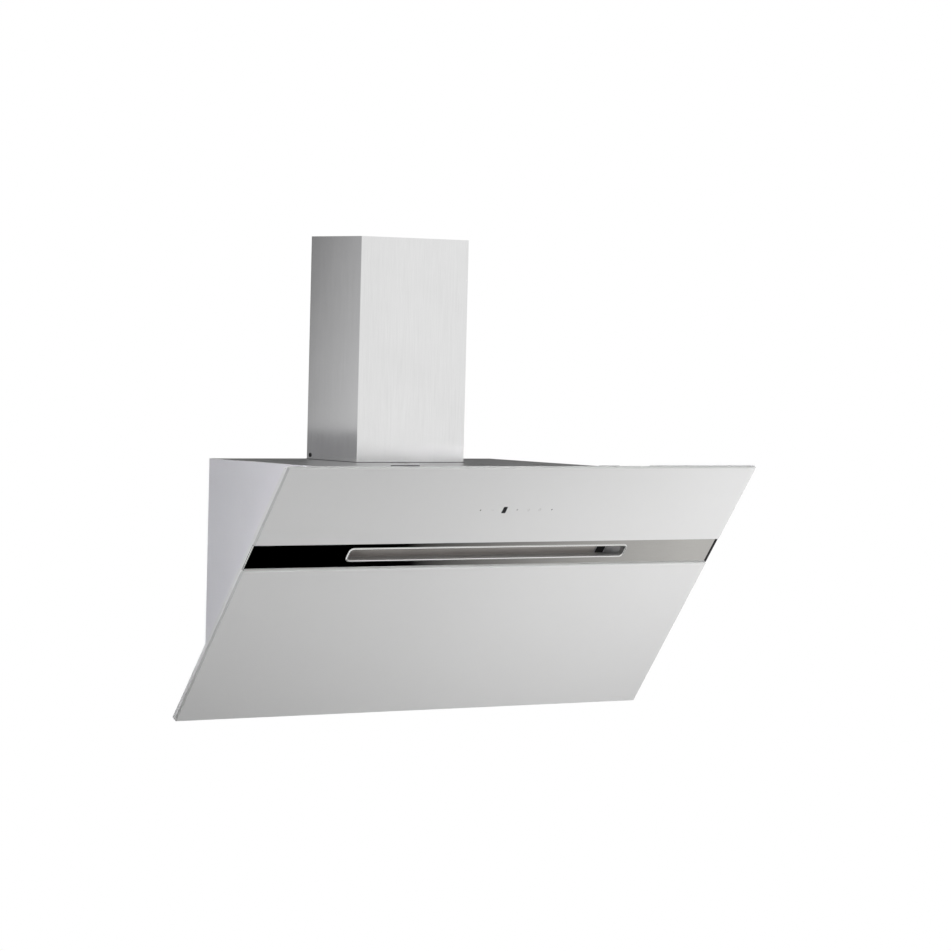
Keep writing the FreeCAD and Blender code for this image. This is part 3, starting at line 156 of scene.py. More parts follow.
def flat_sheet(name: str, half_x: float, half_y: float, z: float,
               material: bpy.types.Material) -> bpy.types.Object:
    """One rectangular face about the Z axis, as a linked object."""
    corners = [(sx * half_x, sy * half_y, z) for sx, sy in ((-1, -1), (1, -1), (1, 1), (-1, 1))]
    mesh = bpy.data.meshes.new(name)
    mesh.from_pydata(corners, [], [(0, 1, 2, 3)])
    mesh.materials.append(material)
    return place_object(name, mesh)


def mesh_of(name: str, shells: Iterable[Shell], materials: Sequence[bpy.types.Material]) -> bpy.types.Mesh:
    """Join closed surfaces into one mesh.

    Args:
        name: name of the mesh.
        shells: closed surfaces in metres, in the part's frame.
        materials: finishes that the shells' numbers point to.

    Returns:
        The mesh, with its finishes and its smooth faces set.
    """
    points, faces, finish, smooth, start = [], [], [], [], 0
    for shell in shells:
        points.append(shell.points)
        faces += (shell.cells + start).tolist() + [(end + start).tolist() for end in shell.ends]
        finish += [shell.cell_finish, np.asarray(shell.end_finish, int)]
        smooth += [np.full(len(shell.cells), shell.smooth), np.zeros(len(shell.ends), bool)]
        start += len(shell.points)
    mesh = bpy.data.meshes.new(name)
    mesh.from_pydata(np.concatenate(points).tolist(), [], faces)
    for material in materials:
        mesh.materials.append(material)
    mesh.polygons.foreach_set("material_index", np.concatenate(finish).astype(np.int32))
    mesh.polygons.foreach_set("use_smooth", np.concatenate(smooth))
    mesh.update()
    return mesh


def arc(centre: tuple[float, float], radius: float, start: float, end: float,
        steps: int) -> list[tuple[float, float]]:
    """Points of an arc: the radius times (cosine, sine) about a centre, from one angle to another.

    Args:
        centre: centre of the arc.
        radius: its radius.
        start: first angle in degrees.
        end: last angle in degrees.
        steps: points along the arc, less one.

    Returns:
        The points, both ends among them.
    """
    return [(centre[0] + radius * math.cos(angle), centre[1] + radius * math.sin(angle))
            for angle in np.radians(np.linspace(start, end, steps + 1))]


def rounded_outline(half_x: float, half_y: float, radius: float, steps: int = 6) -> Points:
    """Rectangle with rounded corners: a quarter circle about each corner's centre.

    Args:
        half_x: half the width.
        half_y: half the height.
        radius: corner radius.
        steps: points in each quarter circle, less one.

    Returns:
        Array (point, 2), anticlockwise from the right side.
    """
    outline = []
    for index, (sx, sy) in enumerate(((1, 1), (-1, 1), (-1, -1), (1, -1))):
        centre = (sx * (half_x - radius), sy * (half_y - radius))
        outline += arc(centre, radius, 90 * index, 90 * index + 90, steps)
    return np.array(outline)


def at_level(outline: Points, level: float) -> Points:
    """A flat outline (point, 2) as points (point, 3) at one level."""
    return np.column_stack([outline, np.full(len(outline), level)])


def ring_at(half_x: float, half_s: float, corner: float, middle: float, depth: float,
            steps: int = 12) -> Points:
    """Rounded rectangle about (0, middle) at one depth, as points (x, s, d)."""
    return at_level(rounded_outline(half_x, half_s, corner, steps) + np.array([0, middle]), depth)


def stroke(start: tuple[float, float], end: tuple[float, float], width: float, steps: int = 6) -> Points:
    """Outline of a short line with round ends: two half circles about its ends."""
    a, b = np.array(start), np.array(end)
    heading = math.atan2(*(b - a)[::-1]) if np.any(b != a) else 0.0
    turn = np.linspace(-math.pi / 2, math.pi / 2, steps + 1)
    far = b + width / 2 * np.stack([np.cos(heading + turn), np.sin(heading + turn)], axis=1)
    near = a - width / 2 * np.stack([np.cos(heading + turn), np.sin(heading + turn)], axis=1)
    return np.concatenate([far, near])


def plate(outline: Points, levels: Sequence[float]) -> Shell:
    """Flat plate: one outline repeated at several depths."""
    return loft(np.stack([at_level(outline, level) for level in levels]))


def ring_band(centre: tuple[float, float], radius: float, width: float, levels: tuple[float, float],
              steps: int = 28) -> Shell:
    """Flat ring: its four-cornered section carried round a centre.

    Args:
        centre: centre of the ring.
        radius: middle radius.
        width: width of the line.
        levels: depth of its two faces.
        steps: sections round the ring.

    Returns:
        The closed shell.
    """
    angle = np.radians(np.linspace(0, 360, steps + 1))[:steps]
    low, high = levels
    section = [(radius - width / 2, low), (radius + width / 2, low),
               (radius + width / 2, high), (radius - width / 2, high)]
    rings = [[centre[0] + r * np.cos(angle), centre[1] + r * np.sin(angle), np.full_like(angle, z)]
             for r, z in section]
    return loft(np.transpose(np.array(rings), (2, 0, 1)), closed=True)


def axes_about(axis: Sequence[float]) -> tuple[Points, Points, Points]:
    """An axis and two directions square to it, all of length 1."""
    up = Vector(axis).normalized()
    side = up.orthogonal().normalized()
    return np.array(up), np.array(side), np.array(up.cross(side))


def turned(profile: Sequence[tuple[float, float]], start: Sequence[float], axis: Sequence[float],
           steps: int = 40, closed: bool = False) -> Shell:
    """Round piece: each (radius, height) of the profile carried round an axis.

    Args:
        profile: pairs of radius and height, with both ends off the axis.
        start: point of the axis at height 0, in millimetres.
        axis: direction of the axis.
        steps: points round each ring.
        closed: whether the profile comes back to its start, as in a ring.

    Returns:
        The closed shell in millimetres, shaded smooth.
    """
    line = np.array(profile, dtype=float)
    up, side, other = axes_about(axis)
    angle = np.arange(steps) * 2 * math.pi / steps
    spokes = np.outer(np.cos(angle), side) + np.outer(np.sin(angle), other)
    rings = np.array(start) + line[:, 0, None, None] * spokes + line[:, 1, None, None] * up
    return loft(rings, closed=closed, smooth=True)


# ------------------------------------------------------------------ slope
@dataclass(frozen=True)
class Slope:
    """The leaning front: where (x, s, d) lies in the part's frame."""

    tilt: float = 36.6
    reach: float = 488.0
    top: float = 155.3

    def place(self, points: Points) -> Points:
        """Metres in the part's frame of points (x, s, d) in millimetres.

        y is minus the reach, plus s times the sine and d times the cosine of
        the tilt; z is the top, less s times the cosine, plus d times the sine.
        """
        x, s, d = points[..., 0], points[..., 1], points[..., 2]
        sine, cosine = math.sin(math.radians(self.tilt)), math.cos(math.radians(self.tilt))
        y = -self.reach + s * sine + d * cosine
        z = self.top - s * cosine + d * sine
        return np.stack([x, y, z], axis=-1) * MM

    def down_to(self, z: float, depth: float) -> float:
        """Distance down the slope at which the plane at a depth reaches height z."""
        sine, cosine = math.sin(math.radians(self.tilt)), math.cos(math.radians(self.tilt))
        return (self.top + depth * sine - z) / cosine

    def lean(self, shell: Shell) -> Shell:
        """The same shell moved from slope coordinates to the part's frame."""
        shell.points = self.place(shell.points)
        return shell.outward()


def upright(shell: Shell) -> Shell:
    """The same shell, drawn in millimetres of the part's frame, in metres."""
    shell.points = shell.points * MM
    return shell.outward()


SLOPE = Slope()


# ------------------------------------------------------------------ finishes
class Pattern(Enum):
    """How the grain of a finish is stretched along X, Y and Z."""

    CLOUD = (1.0, 1.0, 1.0)
    ALONG_X = (0.012, 1.0, 1.0)
    ALONG_Z = (1.0, 1.0, 0.012)


class Texture(Enum):
    """What draws the fine pattern of a finish: noise, or a feature of a cell texture."""

    NOISE = "noise"
    CELLS = "F1"
    FLAKES = "SMOOTH_F1"


class Graph:
    """The node tree of a material or world, built one node at a time."""

    def __init__(self, owner: bpy.types.Material | bpy.types.World) -> None:
        """Empty the tree of its owner."""
        self.owner = owner
        self.owner.use_nodes = True
        self.tree = self.owner.node_tree
        self.tree.nodes.clear()

    def add(self, kind: str, settings: dict[str, Any] | None = None,
            values: dict[str | int, Any] | None = None) -> bpy.types.Node:
        """Add a node.

        Args:
            kind: class name of the node.
            settings: its properties by name.
            values: input values by socket name or number; a socket of another
                node is linked instead.

        Returns:
            The node.
        """
        node = self.tree.nodes.new(kind)
        for key, value in (settings or {}).items():
            setattr(node, key, value)
        for key, value in (values or {}).items():
            if isinstance(value, bpy.types.NodeSocket):
                self.tree.links.new(value, node.inputs[key])
            else:
                node.inputs[key].default_value = value
        return node

    def spread(self, source: bpy.types.NodeSocket, low: float, high: float) -> bpy.types.NodeSocket:
        """A value from 0.3 to 0.7 mapped on to low to high."""
        values = {"Value": source, "From Min": 0.3, "From Max": 0.7, "To Min": low, "To Max": high}
        return self.add("ShaderNodeMapRange", values=values).outputs["Result"]

    def blend(self, factor: bpy.types.NodeSocket, low: Colour, high: Colour) -> bpy.types.NodeSocket:
        """A colour between two, by a factor."""
        mix = self.add("ShaderNodeMix", {"data_type": "RGBA"}, {0: factor})
        mix.inputs[6].default_value = (*low, 1)
        mix.inputs[7].default_value = (*high, 1)
        return mix.outputs[2]

    def seen_white(self, plain: bpy.types.Node, white: bpy.types.Node) -> bpy.types.NodeSocket:
        """White for rays from the camera, a mirror or glass, and plain for the rest."""
        path = self.add("ShaderNodeLightPath")
        share = path.outputs["Is Camera Ray"]
        for ray in ("Is Glossy Ray", "Is Transmission Ray"):
            either = {0: share, 1: path.outputs[ray]}
            share = self.add("ShaderNodeMath", {"operation": "MAXIMUM"}, either).outputs[0]
        shaders = {0: share, 1: plain.outputs[0], 2: white.outputs[0]}
        return self.add("ShaderNodeMixShader", values=shaders).outputs[0]


@dataclass(frozen=True)
class Finish:
    """A surface finish: its colour, its shine and the grain that breaks it up."""

    name: str
    colour: Colour
    roughness: float
    metallic: float = 0.0
    pattern: Pattern = Pattern.CLOUD
    texture: Texture = Texture.NOISE
    grain: float = 900.0
    contrast: float = 0.06
    cloud: float = 14.0
    cloud_contrast: float = 0.03
    rough_swing: float = 0.06
    bump: float = 0.15
    bump_height: float = 0.00004
    coat: float = 0.0
    coat_roughness: float = 0.03
    specular: float = 0.5

    def shade(self, share: float) -> Colour:
        """The finish's colour, lighter or darker by a share."""
        return tuple(min(1.0, c * (1 + share)) for c in self.colour)

    def material(self) -> bpy.types.Material:
        """Build the material: fine grain times slow cloud, on object coordinates.

        Returns:
            The material, with colour, roughness and normal drawn by nodes.
        """
        graph = Graph(bpy.data.materials.new(self.name))
        place = graph.add("ShaderNodeTexCoord").outputs["Object"]
        stretched = graph.add("ShaderNodeMapping", values={
            "Vector": place, "Scale": tuple(v * self.grain for v in self.pattern.value)}).outputs["Vector"]
        if self.texture is Texture.NOISE:
            fine = graph.add("ShaderNodeTexNoise", values={
                "Vector": stretched, "Scale": 1.0, "Detail": 4.0, "Roughness": 0.6}).outputs[0]
        else:
            cells = graph.add("ShaderNodeTexVoronoi", {"feature": self.texture.value}, {
                "Vector": stretched, "Scale": 1.0})
            fine = cells.outputs["Distance"]
            if self.texture is Texture.CELLS:
                fine = graph.add("ShaderNodeSeparateColor", values={0: cells.outputs["Color"]}).outputs[0]
        slow = graph.add("ShaderNodeTexNoise", values={
            "Vector": place, "Scale": self.cloud, "Detail": 3.0, "Roughness": 0.5}).outputs[0]
        base = graph.blend(graph.spread(fine, 0, 1), self.shade(-self.contrast), self.shade(self.contrast))
        tint = graph.blend(graph.spread(slow, 0, 1), (1 - self.cloud_contrast,) * 3, (1.0, 1.0, 1.0))
        colour = graph.add("ShaderNodeMix", {"data_type": "RGBA", "blend_type": "MULTIPLY"},
                           {0: 1.0, 6: base, 7: tint}).outputs[2]
        rough = graph.add("ShaderNodeMath", {"operation": "ADD"}, {
            0: graph.spread(fine, self.roughness - self.rough_swing, self.roughness),
            1: graph.spread(slow, 0.0, self.rough_swing)}).outputs[0]
        bump = graph.add("ShaderNodeBump", values={
            "Strength": self.bump, "Distance": self.bump_height, "Height": fine}).outputs[0]
        shader = graph.add("ShaderNodeBsdfPrincipled", values={
            "Base Color": colour, "Roughness": rough, "Normal": bump, "Metallic": self.metallic,
            "Coat Weight": self.coat, "Coat Roughness": self.coat_roughness,
            "Specular IOR Level": self.specular})
        graph.add("ShaderNodeOutputMaterial", values={"Surface": shader.outputs[0]})
        return graph.owner


FINISHES: dict[str, Finish] = {
    "painted_steel": Finish("satin_grey_paint", (0.685, 0.677, 0.715), 0.45, grain=700, contrast=0.012,
                            bump=0.25, bump_height=0.00003, rough_swing=0.05),
    "deck_steel": Finish("brushed_deck_steel", (0.345, 0.345, 0.35), 0.30, 1.0, Pattern.ALONG_X,
                         grain=1300, contrast=0.10),
    "zinc_steel": Finish("zinc_sheet", (0.60, 0.61, 0.62), 0.42, 1.0, texture=Texture.CELLS, grain=110,
                         contrast=0.09, rough_swing=0.10, bump=0.05),
    "filter_metal": Finish("brushed_filter_aluminium", (0.66, 0.66, 0.65), 0.38, 1.0, Pattern.ALONG_X,
                           grain=1500, contrast=0.10),
    "latch_plastic": Finish("moulded_grey_plastic", (0.16, 0.16, 0.165), 0.5, grain=1800, contrast=0.05,
                            bump=0.3),
    "tray_paint": Finish("tray_paint", (0.66, 0.66, 0.67), 0.42, grain=700, contrast=0.012, bump=0.25),
    "bond_tape": Finish("foam_tape", (0.52, 0.52, 0.52), 0.9, texture=Texture.FLAKES, grain=1500,
                        contrast=0.12, bump=0.5),
    "panel_glass": Finish("white_backed_glass", (0.656, 0.656, 0.656), 0.5, grain=60, contrast=0.004,
                          cloud=3.0, cloud_contrast=0.008, bump=0.0, coat=1.0, coat_roughness=0.02),
    "mirror_band": Finish("mirror_polished_steel", (0.80, 0.795, 0.785), 0.045, 1.0, Pattern.ALONG_X,
                          grain=2200, contrast=0.02, rough_swing=0.02, bump=0.02),
    "polished_rim": Finish("polished_rim_steel", (0.86, 0.86, 0.85), 0.10, 1.0, Pattern.ALONG_X,
                           grain=2200, contrast=0.03, rough_swing=0.03, bump=0.03),
    "channel_steel": Finish("channel_steel", (0.42, 0.415, 0.42), 0.42, 0.5, Pattern.ALONG_X, grain=1400,
                            contrast=0.08),
    "deflector_steel": Finish("warm_deflector_steel", (0.50, 0.47, 0.45), 0.42, 0.6, Pattern.ALONG_X,
                              grain=1400, contrast=0.09),
    "board": Finish("sensor_board", (0.05, 0.20, 0.09), 0.4, texture=Texture.CELLS, grain=420,
                    contrast=0.30),
    "display_black": Finish("display_black", (0.006, 0.006, 0.007), 0.14, grain=900, contrast=0.10,
                            rough_swing=0.03),
    "fasteners": Finish("zinc_fasteners", (0.58, 0.57, 0.54), 0.3, 1.0, grain=1600, contrast=0.08),
    "black_screws": Finish("blackened_screws", (0.02, 0.02, 0.021), 0.4, 0.4, grain=1600, contrast=0.15),
    "black_plastic": Finish("moulded_black_plastic", (0.012, 0.012, 0.013), 0.55, grain=1600,
                            contrast=0.12, bump=0.35, specular=0.12),
    "soft_rubber": Finish("soft_rubber", (0.03, 0.03, 0.031), 0.75, grain=1400, contrast=0.12, bump=0.4),
    "brushed_steel": Finish("brushed_chimney_steel", (0.76, 0.76, 0.76), 0.15, 1.0, Pattern.ALONG_Z,
                            grain=1500, contrast=0.035, cloud=9.0, cloud_contrast=0.05, bump=0.12),
    "flap_plastic": Finish("flap_plastic", (0.24, 0.24, 0.25), 0.5, grain=1500, contrast=0.05, bump=0.3),
    "scroll_plastic": Finish("scroll_plastic", (0.05, 0.052, 0.056), 0.48, grain=1300, contrast=0.10,
                             bump=0.35),
    "wheel_metal": Finish("zinc_wheel", (0.60, 0.61, 0.63), 0.4, 1.0, texture=Texture.CELLS, grain=240,
                          contrast=0.08),
    "motor_metal": Finish("motor_can", (0.36, 0.36, 0.37), 0.42, 1.0, grain=1200, contrast=0.07),
    "box_plastic": Finish("grey_box_plastic", (0.46, 0.46, 0.465), 0.5, grain=1500, contrast=0.05,
                          bump=0.35),
    "lamp_metal": Finish("satin_lamp_ring", (0.66, 0.66, 0.66), 0.28, 1.0, grain=1300, contrast=0.04),
    "lens_glass": Finish("frosted_lens", (0.84, 0.84, 0.82), 0.42, texture=Texture.FLAKES, grain=700,
                         contrast=0.03, bump=0.3, coat=0.6),
}
GROUND_EDGE = Finish("ground_glass_edge", (0.42, 0.425, 0.42), 0.6, grain=1500, contrast=0.02, bump=0.2)
ENAMEL_BACK = Finish("enamel_back", (0.56, 0.56, 0.56), 0.7, grain=900, contrast=0.02)
ICON_INK = Finish("icon_ink", (0.44, 0.44, 0.44), 0.45, grain=2000, contrast=0.05, coat=1.0)
PLUS_INK = Finish("plus_ink", (0.10, 0.10, 0.10), 0.45, grain=2000, contrast=0.05, coat=1.0)
DOT_INK = Finish("dot_ink", (0.05, 0.05, 0.05), 0.45, grain=2000, contrast=0.05, coat=1.0)
DIGIT_INK = Finish("unlit_digit", (0.022, 0.023, 0.025), 0.2, grain=2000, contrast=0.05)
SEAL_BEAD = Finish("silicone_bead", (0.46, 0.46, 0.46), 0.6, grain=1500, contrast=0.03, bump=0.2)
# Satin steel of the rim's inner wall, made much darker than the polished face: painted shade for the recess
# of the slot.
SHADED_SLOT_WALL = Finish("slot_wall_painted_shade", (0.36, 0.355, 0.35), 0.45, 0.35, Pattern.ALONG_X, grain=1600,
                   contrast=0.08)


class Paintbox:
    """Builds each finish once and hands out its material."""

    def __init__(self) -> None:
        """Start with nothing built."""
        self.built: dict[str, bpy.types.Material] = {}

    def get(self, finish: Finish) -> bpy.types.Material:
        """The material of a finish."""
        if finish.name not in self.built:
            self.built[finish.name] = finish.material()
        return self.built[finish.name]

    def slot(self, name: str) -> bpy.types.Material:
        """The material of one of the record's slots."""
        return self.get(FINISHES[name])

    def dress(self, frame: dict[str, Any]) -> None:
        """Give every solid of the frame the finish of its slot.
        """
        for part in frame["record"]["subparts"]:
            mesh = frame["nodes"][part["node"]].data
            material = self.slot(part["material_slot"])
            if not mesh.materials:
                mesh.materials.append(material)
            for index in range(len(mesh.materials)):
                mesh.materials[index] = material
        LOG.info("dressed %d solids", len(frame["nodes"]))


@dataclass
class Group:
    """A sub-assembly's pieces, painted from one paintbox and mostly carried by one body."""

    paint: Paintbox
    body: str = "housing"

    def add(self, name: str, shells: Iterable[Shell], slot: str, node: str = "", body: str = "",
            finishes: Sequence[Finish] = ()) -> None:
        """Add a piece, in place of a plain node where one is named.

        Args:
            name: name of the piece.
            shells: its closed surfaces, in metres.
            slot: the record's slot whose finish it takes when no finishes are given.
            node: the plain node that it replaces, if any.
            body: the body that carries it, where that isn't the group's own.
            finishes: what the shells' finish numbers point to, where that
                isn't just the slot's finish.
        """
        materials = [self.paint.get(finish) for finish in finishes or (FINISHES[slot],)]
        piece = place_object(name, mesh_of(name, shells, materials))
        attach(piece, body or self.body)
        if node:
            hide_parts(node)
        LOG.info("%s: %d faces on %s", name, len(piece.data.polygons), body or self.body)


# ------------------------------------------------------------------ front panel
@dataclass
class GlassPanel(Group):
    """The two glass sheets, with ground edges, on the leaning tray."""

    body: str = "front_panel"
    width: float = 900.0
    length: float = 501.0
    upper_length: float = 150.2
    band_height: float = 49.6
    thick: float = 4.0
    arris: float = 1.2
    back_arris: float = 0.5
    corner: float = 1.5
    bond: float = 1.0
    bead_width: float = 2.4
    bead_lips: tuple[float, float] = (0.5, 0.4)
    bead_hollow: float = 0.75

    def sheet(self, s0: float, s1: float) -> Shell:
        """A sheet between two heights: its outline drawn in at each depth.

        The rings start on the face, drawn in by the ground arris, widen to
        the full outline over the arris and draw in again at the back. The
        factors are shares of the two arrises that ease their corners.
        """
        a, b, t = self.arris, self.back_arris, self.thick
        section = [(a, 0.0), (a * 0.93, a * 0.02), (a * 0.03, a * 0.96), (0.0, a * 1.06),
                   (0.0, t - b * 1.1), (b * 0.95, t - b * 0.05), (b * 1.05, t)]
        rings = [ring_at(self.width / 2 - inset, (s1 - s0) / 2 - inset, max(self.corner - inset * 0.5, 0.6),
                         (s0 + s1) / 2, depth, 3) for inset, depth in section]
        return SLOPE.lean(loft(np.stack(rings), 1, (0, 2)))

    def bead(self, s0: float, s1: float) -> Shell:
        """Silicone bead round a sheet's back: a hollow-faced section carried round."""
        near, far, back = self.thick, self.thick + self.bond, self.bead_width
        first, last = self.bead_lips
        section = [(first, near), *((self.bead_hollow, near + self.bond * share) for share in (0.35, 0.65)),
                   (last, far), (back, far), (back, near)]
        rings = [ring_at(self.width / 2 - inset, (s1 - s0) / 2 - inset, self.corner, (s0 + s1) / 2, depth, 3)
                 for inset, depth in section]
        return SLOPE.lean(loft(np.stack(rings), closed=True))

    def build(self) -> None:
        """Make both sheets in place of the plain ones, each with its bead."""
        finishes = (FINISHES["panel_glass"], GROUND_EDGE, ENAMEL_BACK)
        bottom = self.upper_length + self.band_height
        for name, s0, s1 in (("upper_glass", 0.0, self.upper_length), ("lower_glass", bottom, self.length)):
            self.add(f"{name}_ground", [self.sheet(s0, s1)], "panel_glass", name, finishes=finishes)
            self.add(f"{name}_bead", [self.bead(s0, s1)], "bond_tape", finishes=[SEAL_BEAD])


@dataclass
class PolishedBand(Group):
    """The polished strip between the sheets, with a capped black rubber gasket at each end. The gasket's
    black is partly painted shade: it stands in for the shadow gap between band and tray.
    """

    body: str = "front_panel"
    width: float = 900.0
    top: float = 150.2
    height: float = 49.6
    gap: float = 0.5
    face: float = 4.0
    thick: float = 1.0
    # Width of the black end gaskets, which are partly painted shade for the gap between band and tray.
    shade_gasket: float = 1.7
    cap: float = 0.6
    front: float = 2.0
    ease: float = 0.3
    cap_back: float = 3.8
    cap_gap: float = 0.05
    slot_middle: float = 173.6
    slot_half: tuple[float, float] = (267.95, 11.4)
    slot_corner: float = 6.2

    def strip(self) -> Shell:
        """Flat ring round the slot: its outer outline joined to the slot's at both faces."""
        half_x, half_s = self.width / 2 - self.shade_gasket, self.height / 2 - self.gap
        middle, faces = self.top + self.height / 2, (self.face, self.face + self.thick)
        rings = [ring_at(half_x, half_s, self.ease, middle, depth) for depth in faces]
        rings += [ring_at(*self.slot_half, self.slot_corner, self.slot_middle, depth)
                  for depth in reversed(faces)]
        return SLOPE.lean(loft(np.stack(rings), closed=True))

    def end_bar(self, section: Sequence[tuple[float, float]], side: int) -> Shell:
        """A section (inward from the end, depth) carried down the slope at one end."""
        s0, s1 = self.top + self.gap, self.top + self.height - self.gap
        rings = [[(side * (self.width / 2 - inward), s, d) for inward, d in section] for s in (s0, s1)]
        return SLOPE.lean(loft(np.array(rings)))

    def build(self) -> None:
        """Make the strip in place of the plain one, with a capped black gasket at each end that paints the
        shadow gap at the band's ends.
        """
        back, r = self.face + self.thick, self.cap / 2
        cap = [(self.cap, self.cap_back), *arc((r, self.front + r), r, 0, -180, 8), (0.0, self.cap_back)]
        edge = self.cap + self.cap_gap
        shade_gasket = [(self.shade_gasket, back), (self.shade_gasket, self.front + self.ease),
                  (self.shade_gasket - self.ease, self.front), (edge, self.front), (edge, self.cap_back),
                  (0.0, self.cap_back), (0.0, back)]
        self.add("band_polished", [self.strip()], "mirror_band", "band")
        self.add("band_end_caps", [self.end_bar(cap, side) for side in (-1, 1)], "mirror_band")
        self.add("band_end_shade_gaskets", [self.end_bar(shade_gasket, side) for side in (-1, 1)], "soft_rubber")


@dataclass
class Deflector(Group):
    """Curved sheet behind the slot that turns the air down."""

    body: str = "front_panel"
    left: float = -262.4
    right: float = 222.0
    top: float = 128.7
    bend_s: float = 185.0
    plate_d: float = 12.2
    bend: float = 8.7
    sheet: float = 1.2
    foot: float = 202.7

    def build(self) -> None:
        """Carry the bent section from end to end: wall, quarter circle and foot."""
        leave, small = math.degrees(math.acos(self.sheet / self.bend)), self.bend - self.sheet
        centre = (self.bend_s, self.plate_d)
        section = [(self.top, self.plate_d + self.bend), *arc(centre, self.bend, 90, 90 - leave, 9),
                   (self.foot, self.plate_d + self.sheet), (self.foot, self.plate_d),
                   *arc(centre, small, 0, 90, 9), (self.top, self.plate_d + small)]
        rings = [[(x, s, d) for s, d in section] for x in (self.left, self.right)]
        self.add("deflector_curved", [SLOPE.lean(loft(np.array(rings)))], "deflector_steel", "deflector")


@dataclass
class SlotRim(Group):
    """The polished rim of the suction slot and its collar."""

    body: str = "front_panel"
    middle: float = 173.6
    length: float = 533.5
    height: float = 20.4
    corner: float = 5.0
    width: float = 3.0
    face: float = 2.4
    seat: float = 4.0
    collar: float = 1.2
    back: float = 12.2
    round_off: float = 1.4

    def section(self) -> list[tuple[float, float]]:
        """Section of the rim as (outward, depth), its front nearly a half circle."""
        r, middle = self.round_off, self.face + self.round_off
        front = arc((r, middle), r, 180, 270, 6) + arc((self.width - r, middle), r, 270, 360, 6)
        return front + [(self.width, self.seat), (self.collar, self.seat),
                        (self.collar, self.back), (0.0, self.back)]

    def build(self) -> None:
        """Carry the section round the slot in place of the plain rim; the inner wall takes a darker finish
        that paints the shade inside the slot.
        """
        section = self.section()
        rings = [ring_at(self.length / 2 + outward, self.height / 2 + outward, self.corner + outward,
                         self.middle, depth) for outward, depth in section]
        # The last step, the wall down inside the slot, takes the darker finish that paints the slot's shade.
        painted_shade_steps = [0] * (len(section) - 1) + [1]
        shell = SLOPE.lean(loft(np.stack(rings), painted_shade_steps, closed=True, smooth=True))
        self.add("slot_rim_polished", [shell], "polished_rim", "slot_rim",
                 finishes=(FINISHES["polished_rim"], SHADED_SLOT_WALL))


@dataclass
class TouchControls(Group):
    """Printed touch symbols and the digit window of the upper glass."""

    body: str = "front_panel"
    row: float = 83.8
    line: float = 0.6
    size: float = 2.3
    proud: float = 0.03
    window_x: float = -15.6
    window_width: float = 7.8
    window_height: float = 12.4
    window_corner: float = 0.9
    window_lift: float = 1.4
    digit_width: float = 3.0
    digit_height: float = 7.6
    digit_stroke: float = 0.8
    digit_lift: float = 2.0
    digit_cut: float = 0.65
    dot_radius: float = 1.3
    dots: tuple[float, float] = (-61.9, 76.4)
    minus_x: float = -38.8
    plus_x: float = 8.7
    lamp_x: float = 31.2
    clock_x: float = 52.8

    def levels(self, lift: float = 1.0) -> tuple[float, float]:
        """Depths of a print's two faces, just proud of the glass."""
        return (-self.proud * lift, self.proud * 0.5)

    def bar(self, x: float, s: float, dx: float, ds: float) -> Shell:
        """A straight printed line centred on (x, s) that reaches dx and ds each way."""
        outline = stroke((x - dx, self.row + s - ds), (x + dx, self.row + s + ds), self.line)
        return SLOPE.lean(plate(outline, self.levels()))

    def ring(self, x: float, radius: float) -> Shell:
        """A printed ring about (x, row)."""
        return SLOPE.lean(ring_band((x, self.row), radius, self.line, self.levels()))

    def dot(self, x: float) -> Shell:
        """A round printed dot."""
        return SLOPE.lean(plate(stroke((x, self.row), (x, self.row), 2 * self.dot_radius, 8), self.levels()))

    def symbols(self) -> dict[str, list[Shell]]:
        """The faint symbols: a minus, a plus, a lamp, a fan boost and a clock."""
        r = self.size
        return {
            "minus": [self.bar(self.minus_x, 0, r * 0.8, 0)],
            "plus": [self.bar(self.plus_x, 0, r * 0.8, 0), self.bar(self.plus_x, 0, 0, r * 0.8)],
            "lamp": [self.ring(self.lamp_x, r * 0.75), self.bar(self.lamp_x, r * 1.15, r * 0.3, 0)],
            "clock": [self.ring(self.clock_x, r), self.bar(self.clock_x, -r * 0.3, 0, r * 0.3),
                      self.bar(self.clock_x + r * 0.25, 0, r * 0.25, 0)],
        }

    def digit(self) -> list[Shell]:
        """The seven unlit strokes of a digit, as round-ended bars."""
        w, h, x, s = self.digit_width / 2, self.digit_height / 2, self.window_x, self.row
        cut = self.digit_stroke * self.digit_cut
        level = [((x - w + cut, s + k), (x + w - cut, s + k)) for k in (-h, 0.0, h)]
        post = [((x + side * w, s + low), (x + side * w, s + high))
                for side in (-1, 1) for low, high in ((-h + cut, -cut), (cut, h - cut))]
        levels = self.levels(self.digit_lift)
        return [SLOPE.lean(plate(stroke(a, b, self.digit_stroke, 4), levels)) for a, b in level + post]

    def build(self) -> None:
        """Print the symbols, the two end dots and the digit window."""
        for name, shells in self.symbols().items():
            ink = PLUS_INK if name == "plus" else ICON_INK
            self.add(f"touch_{name}", shells, "display_black", finishes=[ink])
        self.add("touch_dots", [self.dot(x) for x in self.dots], "display_black", finishes=[DOT_INK])
        outline = rounded_outline(self.window_width / 2, self.window_height / 2, self.window_corner)
        outline += np.array([self.window_x, self.row])
        self.add("digit_window", [SLOPE.lean(plate(outline, self.levels(self.window_lift)))], "display_black")
        self.add("unlit_digit", self.digit(), "display_black", finishes=[DIGIT_INK])


